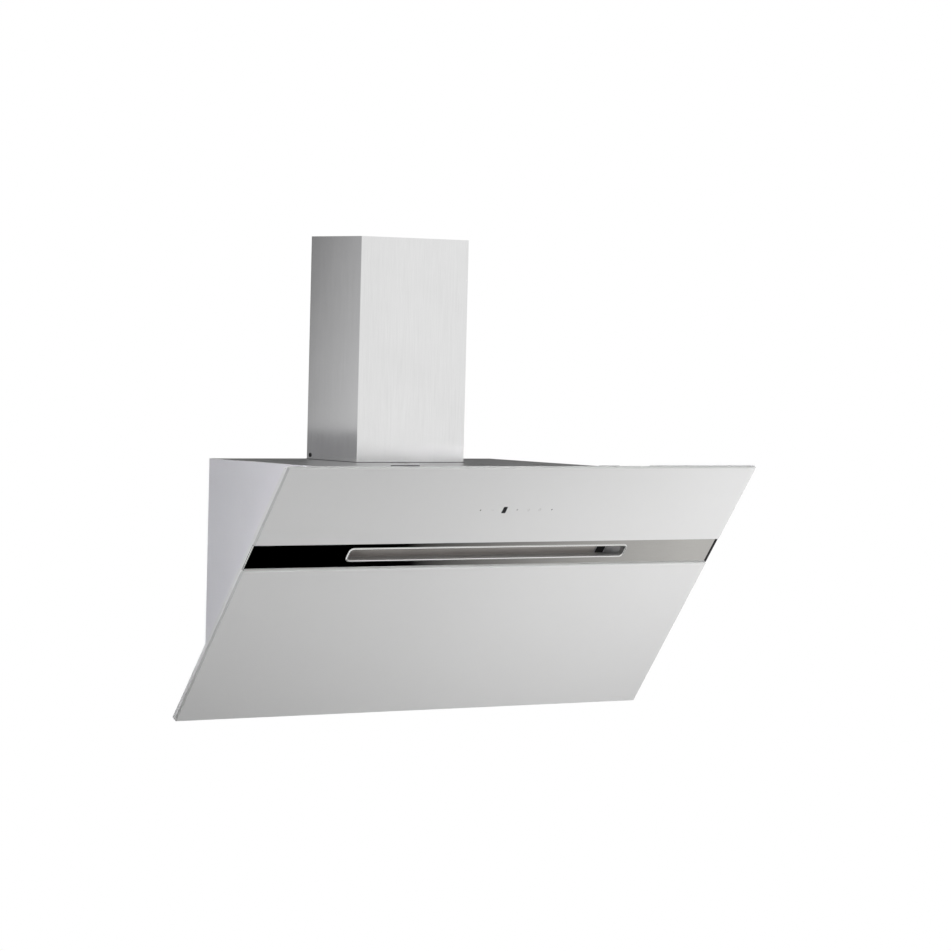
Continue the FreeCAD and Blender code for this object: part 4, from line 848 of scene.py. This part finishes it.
# ------------------------------------------------------------------ chimney
@dataclass
class Chimney(Group):
    """Fixed and sliding covers, folded from brushed sheet."""

    width: float = 210.0
    depth: float = 144.5
    rear: float = -19.3
    deck: float = 150.0
    height: float = 359.5
    lip: float = 14.0
    sheet: float = 1.0
    bend: float = 1.9
    slide: float = 0.5
    bracket: float = 16.3
    drop: float = 3.0
    # Outset and height of the black strip round the foot: painted shade for the contact shadow under the
    # chimney.
    shade_strip: float = 1.05
    shade_strip_height: float = 0.8
    bend_steps: int = 6

    def path(self, gap: float) -> tuple[Points, Points]:
        """Middle line of the folded sheet in plan and its outward directions.

        Straight runs are joined by quarter circles about the centre of each
        bend; the outward direction turns with the circle.

        Args:
            gap: how far the cover lies inside the fixed one.

        Returns:
            Points (n, 2) and unit directions (n, 2).
        """
        half = self.width / 2 - gap
        rear, front = self.rear - gap, self.rear - self.depth + gap
        r, mid = self.bend, self.sheet / 2
        points, normals = [[-half + self.lip, rear - mid]], [[0.0, 1.0]]
        for sx, sy, start in ((-1, 1, 90), (-1, -1, 180), (1, -1, 270), (1, 1, 0)):
            centre = np.array([sx * (half - r), (rear - r) if sy > 0 else (front + r)])
            for angle in np.radians(start + np.linspace(0, 90, self.bend_steps + 1)):
                way = np.array([math.cos(angle), math.sin(angle)])
                points.append(centre + (r - mid) * way)
                normals.append(way)
        points.append([half - self.lip, rear - mid])
        normals.append([0.0, 1.0])
        return np.array(points), np.array(normals)

    def cover(self, gap: float, low: float, high: float) -> Shell:
        """Sheet cover: its folded section carried up from low to high."""
        points, normals = self.path(gap)
        outer = points + normals * self.sheet / 2
        inner = points - normals * self.sheet / 2
        outline = np.concatenate([outer, inner[::-1]])
        shell = plate(outline, (low, high))
        count = len(points)
        strip = np.arange(count - 1)
        rim = np.stack([strip, strip + 1, 2 * count - 2 - strip, 2 * count - 1 - strip], axis=1)
        shell.cells = np.concatenate([shell.cells, rim[:, ::-1], rim + 2 * count])
        shell.cell_finish = np.zeros(len(shell.cells), int)
        shell.ends, shell.end_finish = [], []
        return upright(shell)

    def build(self) -> None:
        """Make both covers in place of the plain ones. Round the fixed one's foot goes a thin black rubber
        strip that is painted shade: it stands in for the contact shadow under the cover.
        """
        top, gap = self.deck + self.height, self.sheet + self.slide
        fixed = self.cover(0.0, self.deck, top)
        sliding = self.cover(gap, self.deck + self.bracket, top - self.drop)
        shade_strip = self.cover(-self.shade_strip, self.deck, self.deck + self.shade_strip_height)
        self.add("chimney_fixed_cover", [fixed], "brushed_steel", "lower_chimney")
        self.add("chimney_foot_shade_strip", [shade_strip], "soft_rubber")
        self.add("chimney_sliding_cover", [sliding], "brushed_steel", "upper_chimney", "chimney_slide")


# ------------------------------------------------------------------ fasteners and fittings
@dataclass(frozen=True)
class Screw:
    """Screw with a domed head and a cross recess."""

    head: float = 3.6
    rim: float = 0.35
    dome: float = 1.05
    shank: float = 2.0
    arm: float = 1.9
    slit: float = 0.42
    recess: float = 0.9
    recess_taper: float = 0.7
    dome_shares: tuple[float, ...] = (0.58, 0.70, 0.82, 0.92, 0.98, 1.0)
    sides: int = 32

    def height(self, radius: Points) -> Points:
        """Height of the dome: the rim, plus the dome times a quarter ellipse of the radius."""
        return self.rim + self.dome * np.sqrt(np.maximum(1 - (radius / self.head) ** 2, 0))

    def shell(self, seat: Sequence[float], way: Sequence[float], length: float) -> Shell:
        """Screw driven against its way, its head resting on the seat.

        The recess is a plus: the larger of its two bars' reaches at each angle.

        Args:
            seat: middle of the head's underside, in millimetres.
            way: direction that the head faces.
            length: length of the shank.

        Returns:
            The closed shell in the seat's coordinates.
        """
        turn = np.arange(self.sides) * 2 * math.pi / self.sides
        c, s = np.maximum(np.abs(np.cos(turn)), 1e-6), np.maximum(np.abs(np.sin(turn)), 1e-6)
        plus = np.maximum(np.minimum(self.arm / c, self.slit / s), np.minimum(self.slit / c, self.arm / s))
        steps = [(plus * self.recess_taper, self.height(plus) - self.recess), (plus, self.height(plus))]
        for share in self.dome_shares:
            radius = np.full(self.sides, self.head * share)
            steps.append((radius, self.height(radius)))
        whole = np.ones(self.sides)
        steps += [(whole * self.head, 0 * whole), (whole * self.shank, 0 * whole),
                  (whole * self.shank, -length * whole)]
        up, side, other = axes_about(way)
        spokes = np.outer(np.cos(turn), side) + np.outer(np.sin(turn), other)
        rings = [np.array(seat) + radius[:, None] * spokes + height[:, None] * up for radius, height in steps]
        return loft(np.stack(rings))


@dataclass(frozen=True)
class ScrewSet:
    """Like screws on the slope: a pair about each of two mirrored places."""

    name: str
    node: str
    body: str
    middle: float
    step: float
    s: float
    d: float
    way: int
    shank: float

    def shells(self, screw: Screw) -> list[Shell]:
        """The four screws, seated on (x, s, d) and facing in or out."""
        seats = [(side * self.middle + dx, self.s, self.d)
                 for side in (-1, 1) for dx in (-self.step, self.step)]
        return [SLOPE.lean(screw.shell(seat, (0, 0, self.way), self.shank)) for seat in seats]


@dataclass
class Fasteners(Group):
    """Screws, hinge pins and rubber studs of the hood."""

    hinge_x: float = 150.0
    hinge_s: float = 25.0
    hinge_d: float = 22.0
    hinge_half: float = 32.3
    hinge_gap: float = 1.0
    catch_x: float = 205.0
    bumper_x: float = 252.0
    bumper_inset: float = 20.0
    frame_depth: float = 34.0
    deck: float = 149.0
    bottom: float = -222.0
    chimney_screw: tuple[float, float, float] = (105.0, -30.3, 157.0)
    chimney_shank: float = 5.0

    def frame_top(self) -> float:
        """Start of the fixed hinge leaves, just under the deck edge."""
        return SLOPE.down_to(self.deck, self.frame_depth) + self.hinge_gap

    def frame_foot(self) -> float:
        """Distance down the slope at which the frame meets the bottom sheet."""
        return SLOPE.down_to(self.bottom, self.frame_depth)

    def screws(self) -> None:
        """All cross-recessed screws, each seated on what it holds."""
        screw = Screw()
        x, y, z = self.chimney_screw
        pair = [upright(screw.shell((side * x, y, z), (side, 0, 0), self.chimney_shank)) for side in (-1, 1)]
        self.add("chimney_cover_screws", pair, "black_screws", "chimney_screws")
        for group in (
                ScrewSet("leaf_cross_screws", "hinge_leaf_screws", "front_panel", middle=self.hinge_x,
                         step=20.0, s=55.0, d=13.5, way=1, shank=5.2),
                ScrewSet("bracket_cross_screws", "hinge_bracket_screws", "housing", middle=self.hinge_x,
                         step=16.0, s=self.frame_top() + 26.0, d=31.5, way=-1, shank=5.5),
                ScrewSet("strike_cross_screws", "strike_plate_screws", "front_panel", middle=self.catch_x,
                         step=15.0, s=self.frame_foot() - 30.0, d=13.0, way=1, shank=4.7)):
            self.add(group.name, group.shells(screw), "fasteners", group.node, group.body)

    def pins(self) -> None:
        """Hinge pins with two domed heads: a turned profile along X."""
        half = self.hinge_half
        end = [(0.4, 1.5), (1.7, 1.42), (2.8, 1.15), (3.6, 0.7), (4.0, 0.2), (4.0, 0.0), (2.5, 0.0)]
        profile = [(r, half + h) for r, h in end] + [(r, -half - h) for r, h in reversed(end)]
        for side, name in ((1, "right"), (-1, "left")):
            pin = turned(profile, (side * self.hinge_x, self.hinge_s, self.hinge_d), (1, 0, 0), 28)
            self.add(f"domed_pin_{name}", [SLOPE.lean(pin)], "fasteners", f"hinge_pin_{name}", "front_panel")

    def studs(self) -> None:
        """Rubber studs: a foot, a waisted neck and a domed tip, turned about the depth."""
        profile = [(0.5, 11.3), (2.6, 11.4), (4.2, 11.9), (5.2, 13.2), (5.4, 15.0), (5.2, 18.0), (4.9, 24.0),
                   (5.2, 29.0), (5.9, 30.6), (6.0, 31.2), (6.0, 33.8), (5.8, 34.0)]
        places = [(side * self.bumper_x, s, 0.0) for side in (-1, 1)
                  for s in (self.frame_top() + self.bumper_inset, self.frame_foot() - self.bumper_inset)]
        studs = [SLOPE.lean(turned(profile, place, (0, 0, 1), 28)) for place in places]
        self.add("rubber_studs", studs, "soft_rubber", "bumpers")

    def build(self) -> None:
        """Make all small fasteners."""
        self.screws()
        self.pins()
        self.studs()


@dataclass
class Fittings(Group):
    """Duct collar, cable bush and lamps: pieces turned about upright axes."""

    collar_y: float = -91.55
    deck: float = 150.0
    bush: tuple[float, float] = (-84.0, -68.0)
    lamp: tuple[float, float] = (165.0, -82.0)
    bottom: float = -222.0
    lens: float = 25.0
    lens_face: float = -0.75
    lens_edge: float = -0.7
    ribs: float = 2.5
    rib_height: float = 0.22

    def fit(self, name: str, node: str, slot: str, profile: Sequence[tuple[float, float]],
            foot: tuple[float, float, float], steps: int, closed: bool = False) -> None:
        """Add a piece turned about the upright line through its foot, in place of its plain node."""
        self.add(name, [upright(turned(profile, foot, (0, 0, 1), steps, closed))], slot, node)

    def collar(self) -> None:
        """Duct collar: flange, wall with a clamp groove, rolled rim and flap seat."""
        profile = [(59.6, 0.0), (68.6, 0.0), (69.0, 0.4), (69.0, 2.6), (68.5, 3.0), (63.2, 3.0), (62.2, 3.6),
                   (62.0, 4.6), (62.0, 33.6), (61.6, 34.2), (61.2, 35.0), (61.2, 37.0), (61.6, 37.8),
                   (62.0, 38.4), (62.0, 45.0), (61.6, 45.8), (60.8, 46.0), (59.9, 45.8), (59.6, 45.0),
                   (59.6, 13.9), (59.4, 13.7), (57.5, 13.7), (57.2, 13.4), (57.2, 11.6), (57.5, 11.3),
                   (59.6, 11.3)]
        self.fit("duct_collar", "spigot", "black_plastic", profile, (0, self.collar_y, self.deck), 72, True)

    def cable_bush(self) -> None:
        """Rubber bush with two rounded lips and a waist in the deck sheet."""
        profile = [(4.5, -3.0), (5.0, -3.45), (9.1, -3.5), (9.8, -3.1), (10.0, -2.3), (9.7, -1.4),
                   (9.0, -1.0), (8.0, -1.0), (8.0, 0.0), (9.2, 0.0), (9.9, 0.5), (10.0, 1.3), (9.5, 2.1),
                   (8.2, 2.45), (6.0, 2.5), (5.0, 2.3), (4.5, 1.7)]
        self.fit("cable_bush", "cable_grommet", "soft_rubber", profile, (*self.bush, self.deck), 36, True)

    def lamps(self) -> None:
        """Lamp holders with rounded rings, and lenses with ring-shaped ribs.

        The rib height is a cosine of the radius, a rib every few millimetres.
        """
        can = [(0.5, 20.0), (24.6, 20.0), (25.0, 19.6), (25.0, -1.4), (25.4, -1.8), (26.4, -2.0),
               (30.4, -1.9), (32.2, -1.4), (33.0, -0.6), (33.0, 0.0), (27.0, 0.0), (27.0, 21.4), (26.4, 22.0),
               (0.5, 22.0)]
        radius = np.linspace(0.5, self.lens, 60)
        under = self.lens_face - self.rib_height * (0.5 + 0.5 * np.cos(2 * math.pi * radius / self.ribs))
        under[-1] = self.lens_edge
        lens = [*zip(radius.tolist(), under.tolist()), (self.lens, 1.9), (0.5, 2.0)]
        x, y = self.lamp
        for side, name in ((1, "right"), (-1, "left")):
            place = (side * x, y, self.bottom)
            self.fit(f"lamp_ring_{name}", f"lamp_can_{name}", "lamp_metal", can, place, 56)
            self.fit(f"ribbed_lens_{name}", f"lamp_lens_{name}", "lens_glass", lens, place, 56)

    def build(self) -> None:
        """Make all turned fittings."""
        self.collar()
        self.cable_bush()
        self.lamps()


@dataclass
class CableCover(Group):
    """Black cover on the deck edge: a raised front lip and a low ribbed body behind it."""

    lip_x: tuple[float, float] = (-246.0, -194.0)
    lip_y: tuple[float, float] = (-459.9, -455.9)
    lip_top: float = 158.2
    lip_ease: float = 0.8
    body_x: tuple[float, float] = (-262.0, -196.0)
    body_y: tuple[float, float] = (-455.8, -426.0)
    body_top: float = 154.4
    body_ease: float = 0.9
    deck: float = 150.0
    ribs: int = 9
    rib_y: tuple[float, float] = (-451.9, -429.0)
    rib_inset: float = 6.0
    rib_half: float = 1.0
    rib_top: float = 154.9
    rib_ease: float = 0.4
    sharpest: float = 0.2

    def block(self, x: tuple[float, float], y: tuple[float, float], top: float, ease: float) -> Shell:
        """Block with rounded upright corners whose top edge is eased by a quarter circle."""
        half_x, half_y = (x[1] - x[0]) / 2, (y[1] - y[0]) / 2
        middle = np.array([(x[0] + x[1]) / 2, (y[0] + y[1]) / 2])
        steps = [(0.0, self.deck), *arc((ease, top - ease), ease, 180, 90, 4)]
        rings = [at_level(rounded_outline(half_x - inset, half_y - inset, max(ease - inset, self.sharpest), 3)
                          + middle, z) for inset, z in steps]
        return upright(loft(np.stack(rings)))

    def build(self) -> None:
        """Make the cover in place of the plain one."""
        first, last = self.body_x
        shells = [self.block(self.lip_x, self.lip_y, self.lip_top, self.lip_ease),
                  self.block(self.body_x, self.body_y, self.body_top, self.body_ease)]
        shells += [self.block((x - self.rib_half, x + self.rib_half), self.rib_y, self.rib_top, self.rib_ease)
                   for x in np.linspace(first + self.rib_inset, last - self.rib_inset, self.ribs)]
        self.add("cable_cover", shells, "black_plastic", "cable_duct")


@dataclass
class FrameShadeStrips(Group):
    """Black strips down both sides of the front frame: painted shade for the dark ends of the slot's
    interior.
    """

    # Black rubber on the frame's face where the slot's interior lies in shade: painted shade.
    near: float = 240.0
    far: float = 255.8
    thick: float = 1.2
    ease: tuple[float, float] = (0.5, 0.4)
    corner: float = 2.0
    inset: float = 32.0
    depth: float = 34.0
    deck: float = 150.0
    bottom: float = -222.0

    def build(self) -> None:
        """Make both black strips on the frame's face, their front edges eased; they paint the shade seen past
        the deflector's ends.
        """
        top = SLOPE.down_to(self.deck, self.depth) + self.inset
        low = SLOPE.down_to(self.bottom, self.depth) - self.inset
        half_x, half_s, face = (self.far - self.near) / 2, (low - top) / 2, self.depth - self.thick
        drawn_in, deep = self.ease
        strips = []
        for side in (-1, 1):
            shift = np.array([side * (self.near + self.far) / 2, 0, 0])
            rings = [ring_at(half_x - inset, half_s - inset, self.corner, (top + low) / 2, depth, 3) + shift
                     for inset, depth in ((drawn_in, face), (0.0, face + deep), (0.0, self.depth))]
            strips.append(SLOPE.lean(loft(np.stack(rings))))
        self.add("frame_shade_strips", strips, "soft_rubber")


@dataclass
class FilterMesh(Group):
    """Expanded metal behind the slats of a grease filter."""

    middle_x: float = 121.4
    half_width: float = 102.5
    top: float = 117.5
    length: float = 303.0
    depth: float = 43.4
    pitch: float = 9.0
    step: float = 5.0
    strand: tuple[float, float] = (0.45, 0.35)

    def strip(self, middle: float, s: float, odd: int) -> Shell:
        """One strand at a height, mirrored where it is odd."""
        x = np.linspace(-self.half_width, self.half_width, int(2 * self.half_width / self.step) + 1)
        way = np.where((np.arange(len(x)) + odd) % 2 == 0, -1.0, 1.0)
        line = s + self.pitch / 4 * way
        across, deep = self.strand
        corners = [(-across, -deep), (across, -deep), (across, deep), (-across, deep)]
        rings = [[middle + x, line + ds, np.full_like(x, self.depth + dd)] for ds, dd in corners]
        return SLOPE.lean(loft(np.transpose(np.array(rings), (2, 0, 1))))

    def build(self) -> None:
        """Stack mirrored strands into diamonds behind both filters."""
        rows = np.arange(self.top + self.pitch / 4, self.top + self.length, self.pitch / 2)
        for side, name in ((-1, "left"), (1, "right")):
            shells = [self.strip(side * self.middle_x, s, index % 2) for index, s in enumerate(rows)]
            self.add(f"filter_mesh_{name}", shells, "filter_metal")


# ------------------------------------------------------------------ studio
@dataclass(frozen=True)
class Softbox:
    """A soft lamp, its place and aim in metres and its spread in degrees."""

    name: str
    place: Colour
    aim: Colour
    size: tuple[float, float]
    watts: float
    spread: float = 180.0

    def build(self) -> None:
        """Add the lamp; it lights surfaces and isn't seen or mirrored in them."""
        lamp = bpy.data.lights.new(self.name, "AREA")
        lamp.shape = "RECTANGLE"
        lamp.size, lamp.size_y = self.size
        lamp.energy = self.watts
        lamp.spread = math.radians(self.spread)
        holder = place_object(self.name, lamp)
        holder.location = self.place
        holder.rotation_euler = (Vector(self.aim) - Vector(self.place)).to_track_quat("-Z", "Y").to_euler()
        for ray in ("camera", "glossy", "transmission"):
            setattr(holder, f"visible_{ray}", False)


@dataclass(frozen=True)
class Card:
    """A studio card that only shows in polished metal and glass."""

    name: str
    centre: Colour
    facing: Colour
    along: Colour
    size: tuple[float, float]
    start: Colour
    end: Colour
    power: float = 1.0
    ramp: tuple[float, float] = (-1.0, 1.0)

    def build(self) -> None:
        """Add the card, shaded between two shares of its half length along it."""
        graph = Graph(bpy.data.materials.new(self.name))
        place = graph.add("ShaderNodeTexCoord").outputs["Object"]
        across = graph.add("ShaderNodeSeparateXYZ", values={0: place}).outputs[0]
        low, high = (share * self.size[0] / 2 for share in self.ramp)
        share = graph.add("ShaderNodeMapRange", values={
            "Value": across, "From Min": low, "From Max": high}).outputs["Result"]
        curve = graph.add("ShaderNodeMath", {"operation": "POWER"}, {0: share, 1: self.power}).outputs[0]
        glow = graph.add("ShaderNodeEmission", values={"Color": graph.blend(curve, self.start, self.end)})
        graph.add("ShaderNodeOutputMaterial", values={"Surface": glow.outputs[0]})
        card = flat_sheet(self.name, self.size[0] / 2, self.size[1] / 2, 0.0, graph.owner)
        card.location = self.centre
        face = Vector(self.facing).normalized()
        upward = face.cross(Vector(self.along)).normalized()
        card.rotation_euler = Matrix((upward.cross(face), upward, face)).transposed().to_euler()
        for ray in ("camera", "diffuse", "transmission", "volume_scatter", "shadow"):
            setattr(card, f"visible_{ray}", False)


@dataclass(frozen=True)
class Viewpoint:
    """Where the photograph was taken from, in metres and degrees."""

    frame_px: float = 951.0
    focal_px: float = 3922.5
    azimuth: float = 36.43
    elevation: float = 2.11
    roll: float = 1.41
    distance: float = 6.3236
    target: Colour = (0.10285, -0.19948, 0.13065)
    sensor: float = 36.0

    def build(self) -> None:
        """Add the camera and make it the scene's."""
        a, e, r = (math.radians(v) for v in (self.azimuth, self.elevation, self.roll))
        back = Vector((-math.sin(a) * math.cos(e), -math.cos(a) * math.cos(e), math.sin(e)))
        right = (-back).cross(Vector((0, 0, 1))).normalized()
        up = right.cross(-back)
        right_r = right * math.cos(r) + up * math.sin(r)
        up_r = up * math.cos(r) - right * math.sin(r)
        lens = bpy.data.cameras.new("camera")
        lens.sensor_width = self.sensor
        lens.lens = self.focal_px / self.frame_px * self.sensor
        lens.clip_start, lens.clip_end = 0.1, 100.0
        camera = place_object("camera", lens)
        turn = Matrix((right_r, up_r, back)).transposed().to_4x4()
        camera.matrix_world = Matrix.Translation(Vector(self.target) + back * self.distance) @ turn
        bpy.context.scene.camera = camera


@dataclass
class Studio:
    """White surroundings, pale floor, soft lamps and dark cards."""

    ambient: float = 0.20
    floor_drop: float = -1.80
    floor_size: float = 14.0
    floor_colour: Colour = (0.80, 0.80, 0.80)
    lamps: tuple[Softbox, ...] = (
        Softbox("near_right", (0.95, -1.0, -0.1), (0.3, -0.4, 0.0), (0.4, 0.6), 4.35),
        Softbox("low_front", (0.8, -2.0, -1.4), (0.2, -0.35, -0.05), (0.5, 0.5), 0.76, 40.0),
        Softbox("right_edge", (1.3, -1.2, 0.2), (0.45, -0.48, 0.12), (0.4, 0.4), 0.60, 70.0),
        Softbox("left_front", (-2.5, -1.5, -0.2), (-0.28, -0.38, 0.05), (0.6, 0.6), 1.17, 28.0),
        Softbox("left_wide", (-2.0, -2.4, -0.1), (-0.28, -0.36, 0.03), (0.6, 0.6), 0.21, 28.0),
        Softbox("left_side", (-2.4, -0.4, 0.1), (-0.28, -0.25, -0.05), (0.8, 0.8), 0.23, 50.0),
        Softbox("front_high", (-0.3, -2.4, 2.2), (0.0, -0.38, 0.05), (0.5, 0.5), 7.0, 60.0),
        Softbox("rear_low", (0.1, 1.4, -1.5), (0.0, -0.05, -0.1), (1.2, 1.2), 10.0, 70.0),
        Softbox("rear_high", (0.2, 2.4, 0.9), (0.0, 0.0, 0.1), (1.2, 1.2), 16.0, 60.0),
        Softbox("right_side", (2.6, 0.6, 0.2), (0.3, -0.1, 0.0), (1.0, 1.0), 14.0, 60.0),
    )
    cards: tuple[Card, ...] = (
        Card("card_below", (0.55, -0.65, -1.05), (0.0, 0.0, 1.0), (1.0, 0.0, 0.0), (1.90, 1.4),
             (0.0, 0.0, 0.0), (0.575, 0.567, 0.55), 0.80, (0.082, 0.81)),
        Card("card_rear_left", (-0.42, 0.30, 0.46), (0.59, -0.80, 0.0), (-0.785, -0.576, -0.235), (0.80, 0.8),
             (0.03, 0.03, 0.03), (0.95, 0.95, 0.96), 1.0, (-0.5, 0.5)),
        Card("card_rear_low", (-0.40, 0.28, 0.012), (0.59, -0.80, 0.0), (-0.80, -0.59, 0.0), (0.80, 0.345),
             (0.12, 0.12, 0.125), (0.45, 0.45, 0.46)),
        Card("card_rear_right", (0.62, 0.78, 0.32), (-0.59, -0.80, 0.0), (0.80, -0.59, 0.0), (1.5, 0.9),
             (0.04, 0.04, 0.04), (0.20, 0.20, 0.20)),
    )

    def surroundings(self) -> None:
        """White world for the camera and mirrors, dim and even for the rest."""
        world = bpy.data.worlds.new("studio")
        bpy.context.scene.world = world
        graph = Graph(world)
        even, white = (graph.add("ShaderNodeBackground", values={"Color": (1, 1, 1, 1), "Strength": strength})
                       for strength in (self.ambient, 1.0))
        graph.add("ShaderNodeOutputWorld", values={"Surface": graph.seen_white(even, white)})

    def floor(self) -> None:
        """Pale floor far below the hood, white to the camera."""
        graph = Graph(bpy.data.materials.new("pale_floor"))
        plain = graph.add("ShaderNodeBsdfDiffuse", values={"Color": (*self.floor_colour, 1)})
        white = graph.add("ShaderNodeEmission", values={"Color": (1, 1, 1, 1), "Strength": 1.0})
        graph.add("ShaderNodeOutputMaterial", values={"Surface": graph.seen_white(plain, white)})
        half = self.floor_size / 2
        flat_sheet("floor", half, half, self.floor_drop, graph.owner)

    def build(self) -> None:
        """Set up the whole studio and the picture's colour handling."""
        bpy.context.scene.view_settings.view_transform = "Standard"
        self.surroundings()
        self.floor()
        for item in (*self.lamps, *self.cards):
            item.build()
        LOG.info("studio: %d lamps, %d cards", len(self.lamps), len(self.cards))


def main() -> None:
    """Build the looks of the hood, sub-assembly by sub-assembly."""
    logging.basicConfig(level=logging.INFO, format="%(name)s: %(message)s")
    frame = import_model()
    paint = Paintbox()
    paint.dress(frame)
    for group in (GlassPanel(paint), PolishedBand(paint), SlotRim(paint), Deflector(paint),
                  TouchControls(paint), Chimney(paint), Fasteners(paint), Fittings(paint),
                  CableCover(paint), FrameShadeStrips(paint), FilterMesh(paint)):
        group.build()
    Viewpoint().build()
    Studio().build()


if __name__ == "__main__":
    main()
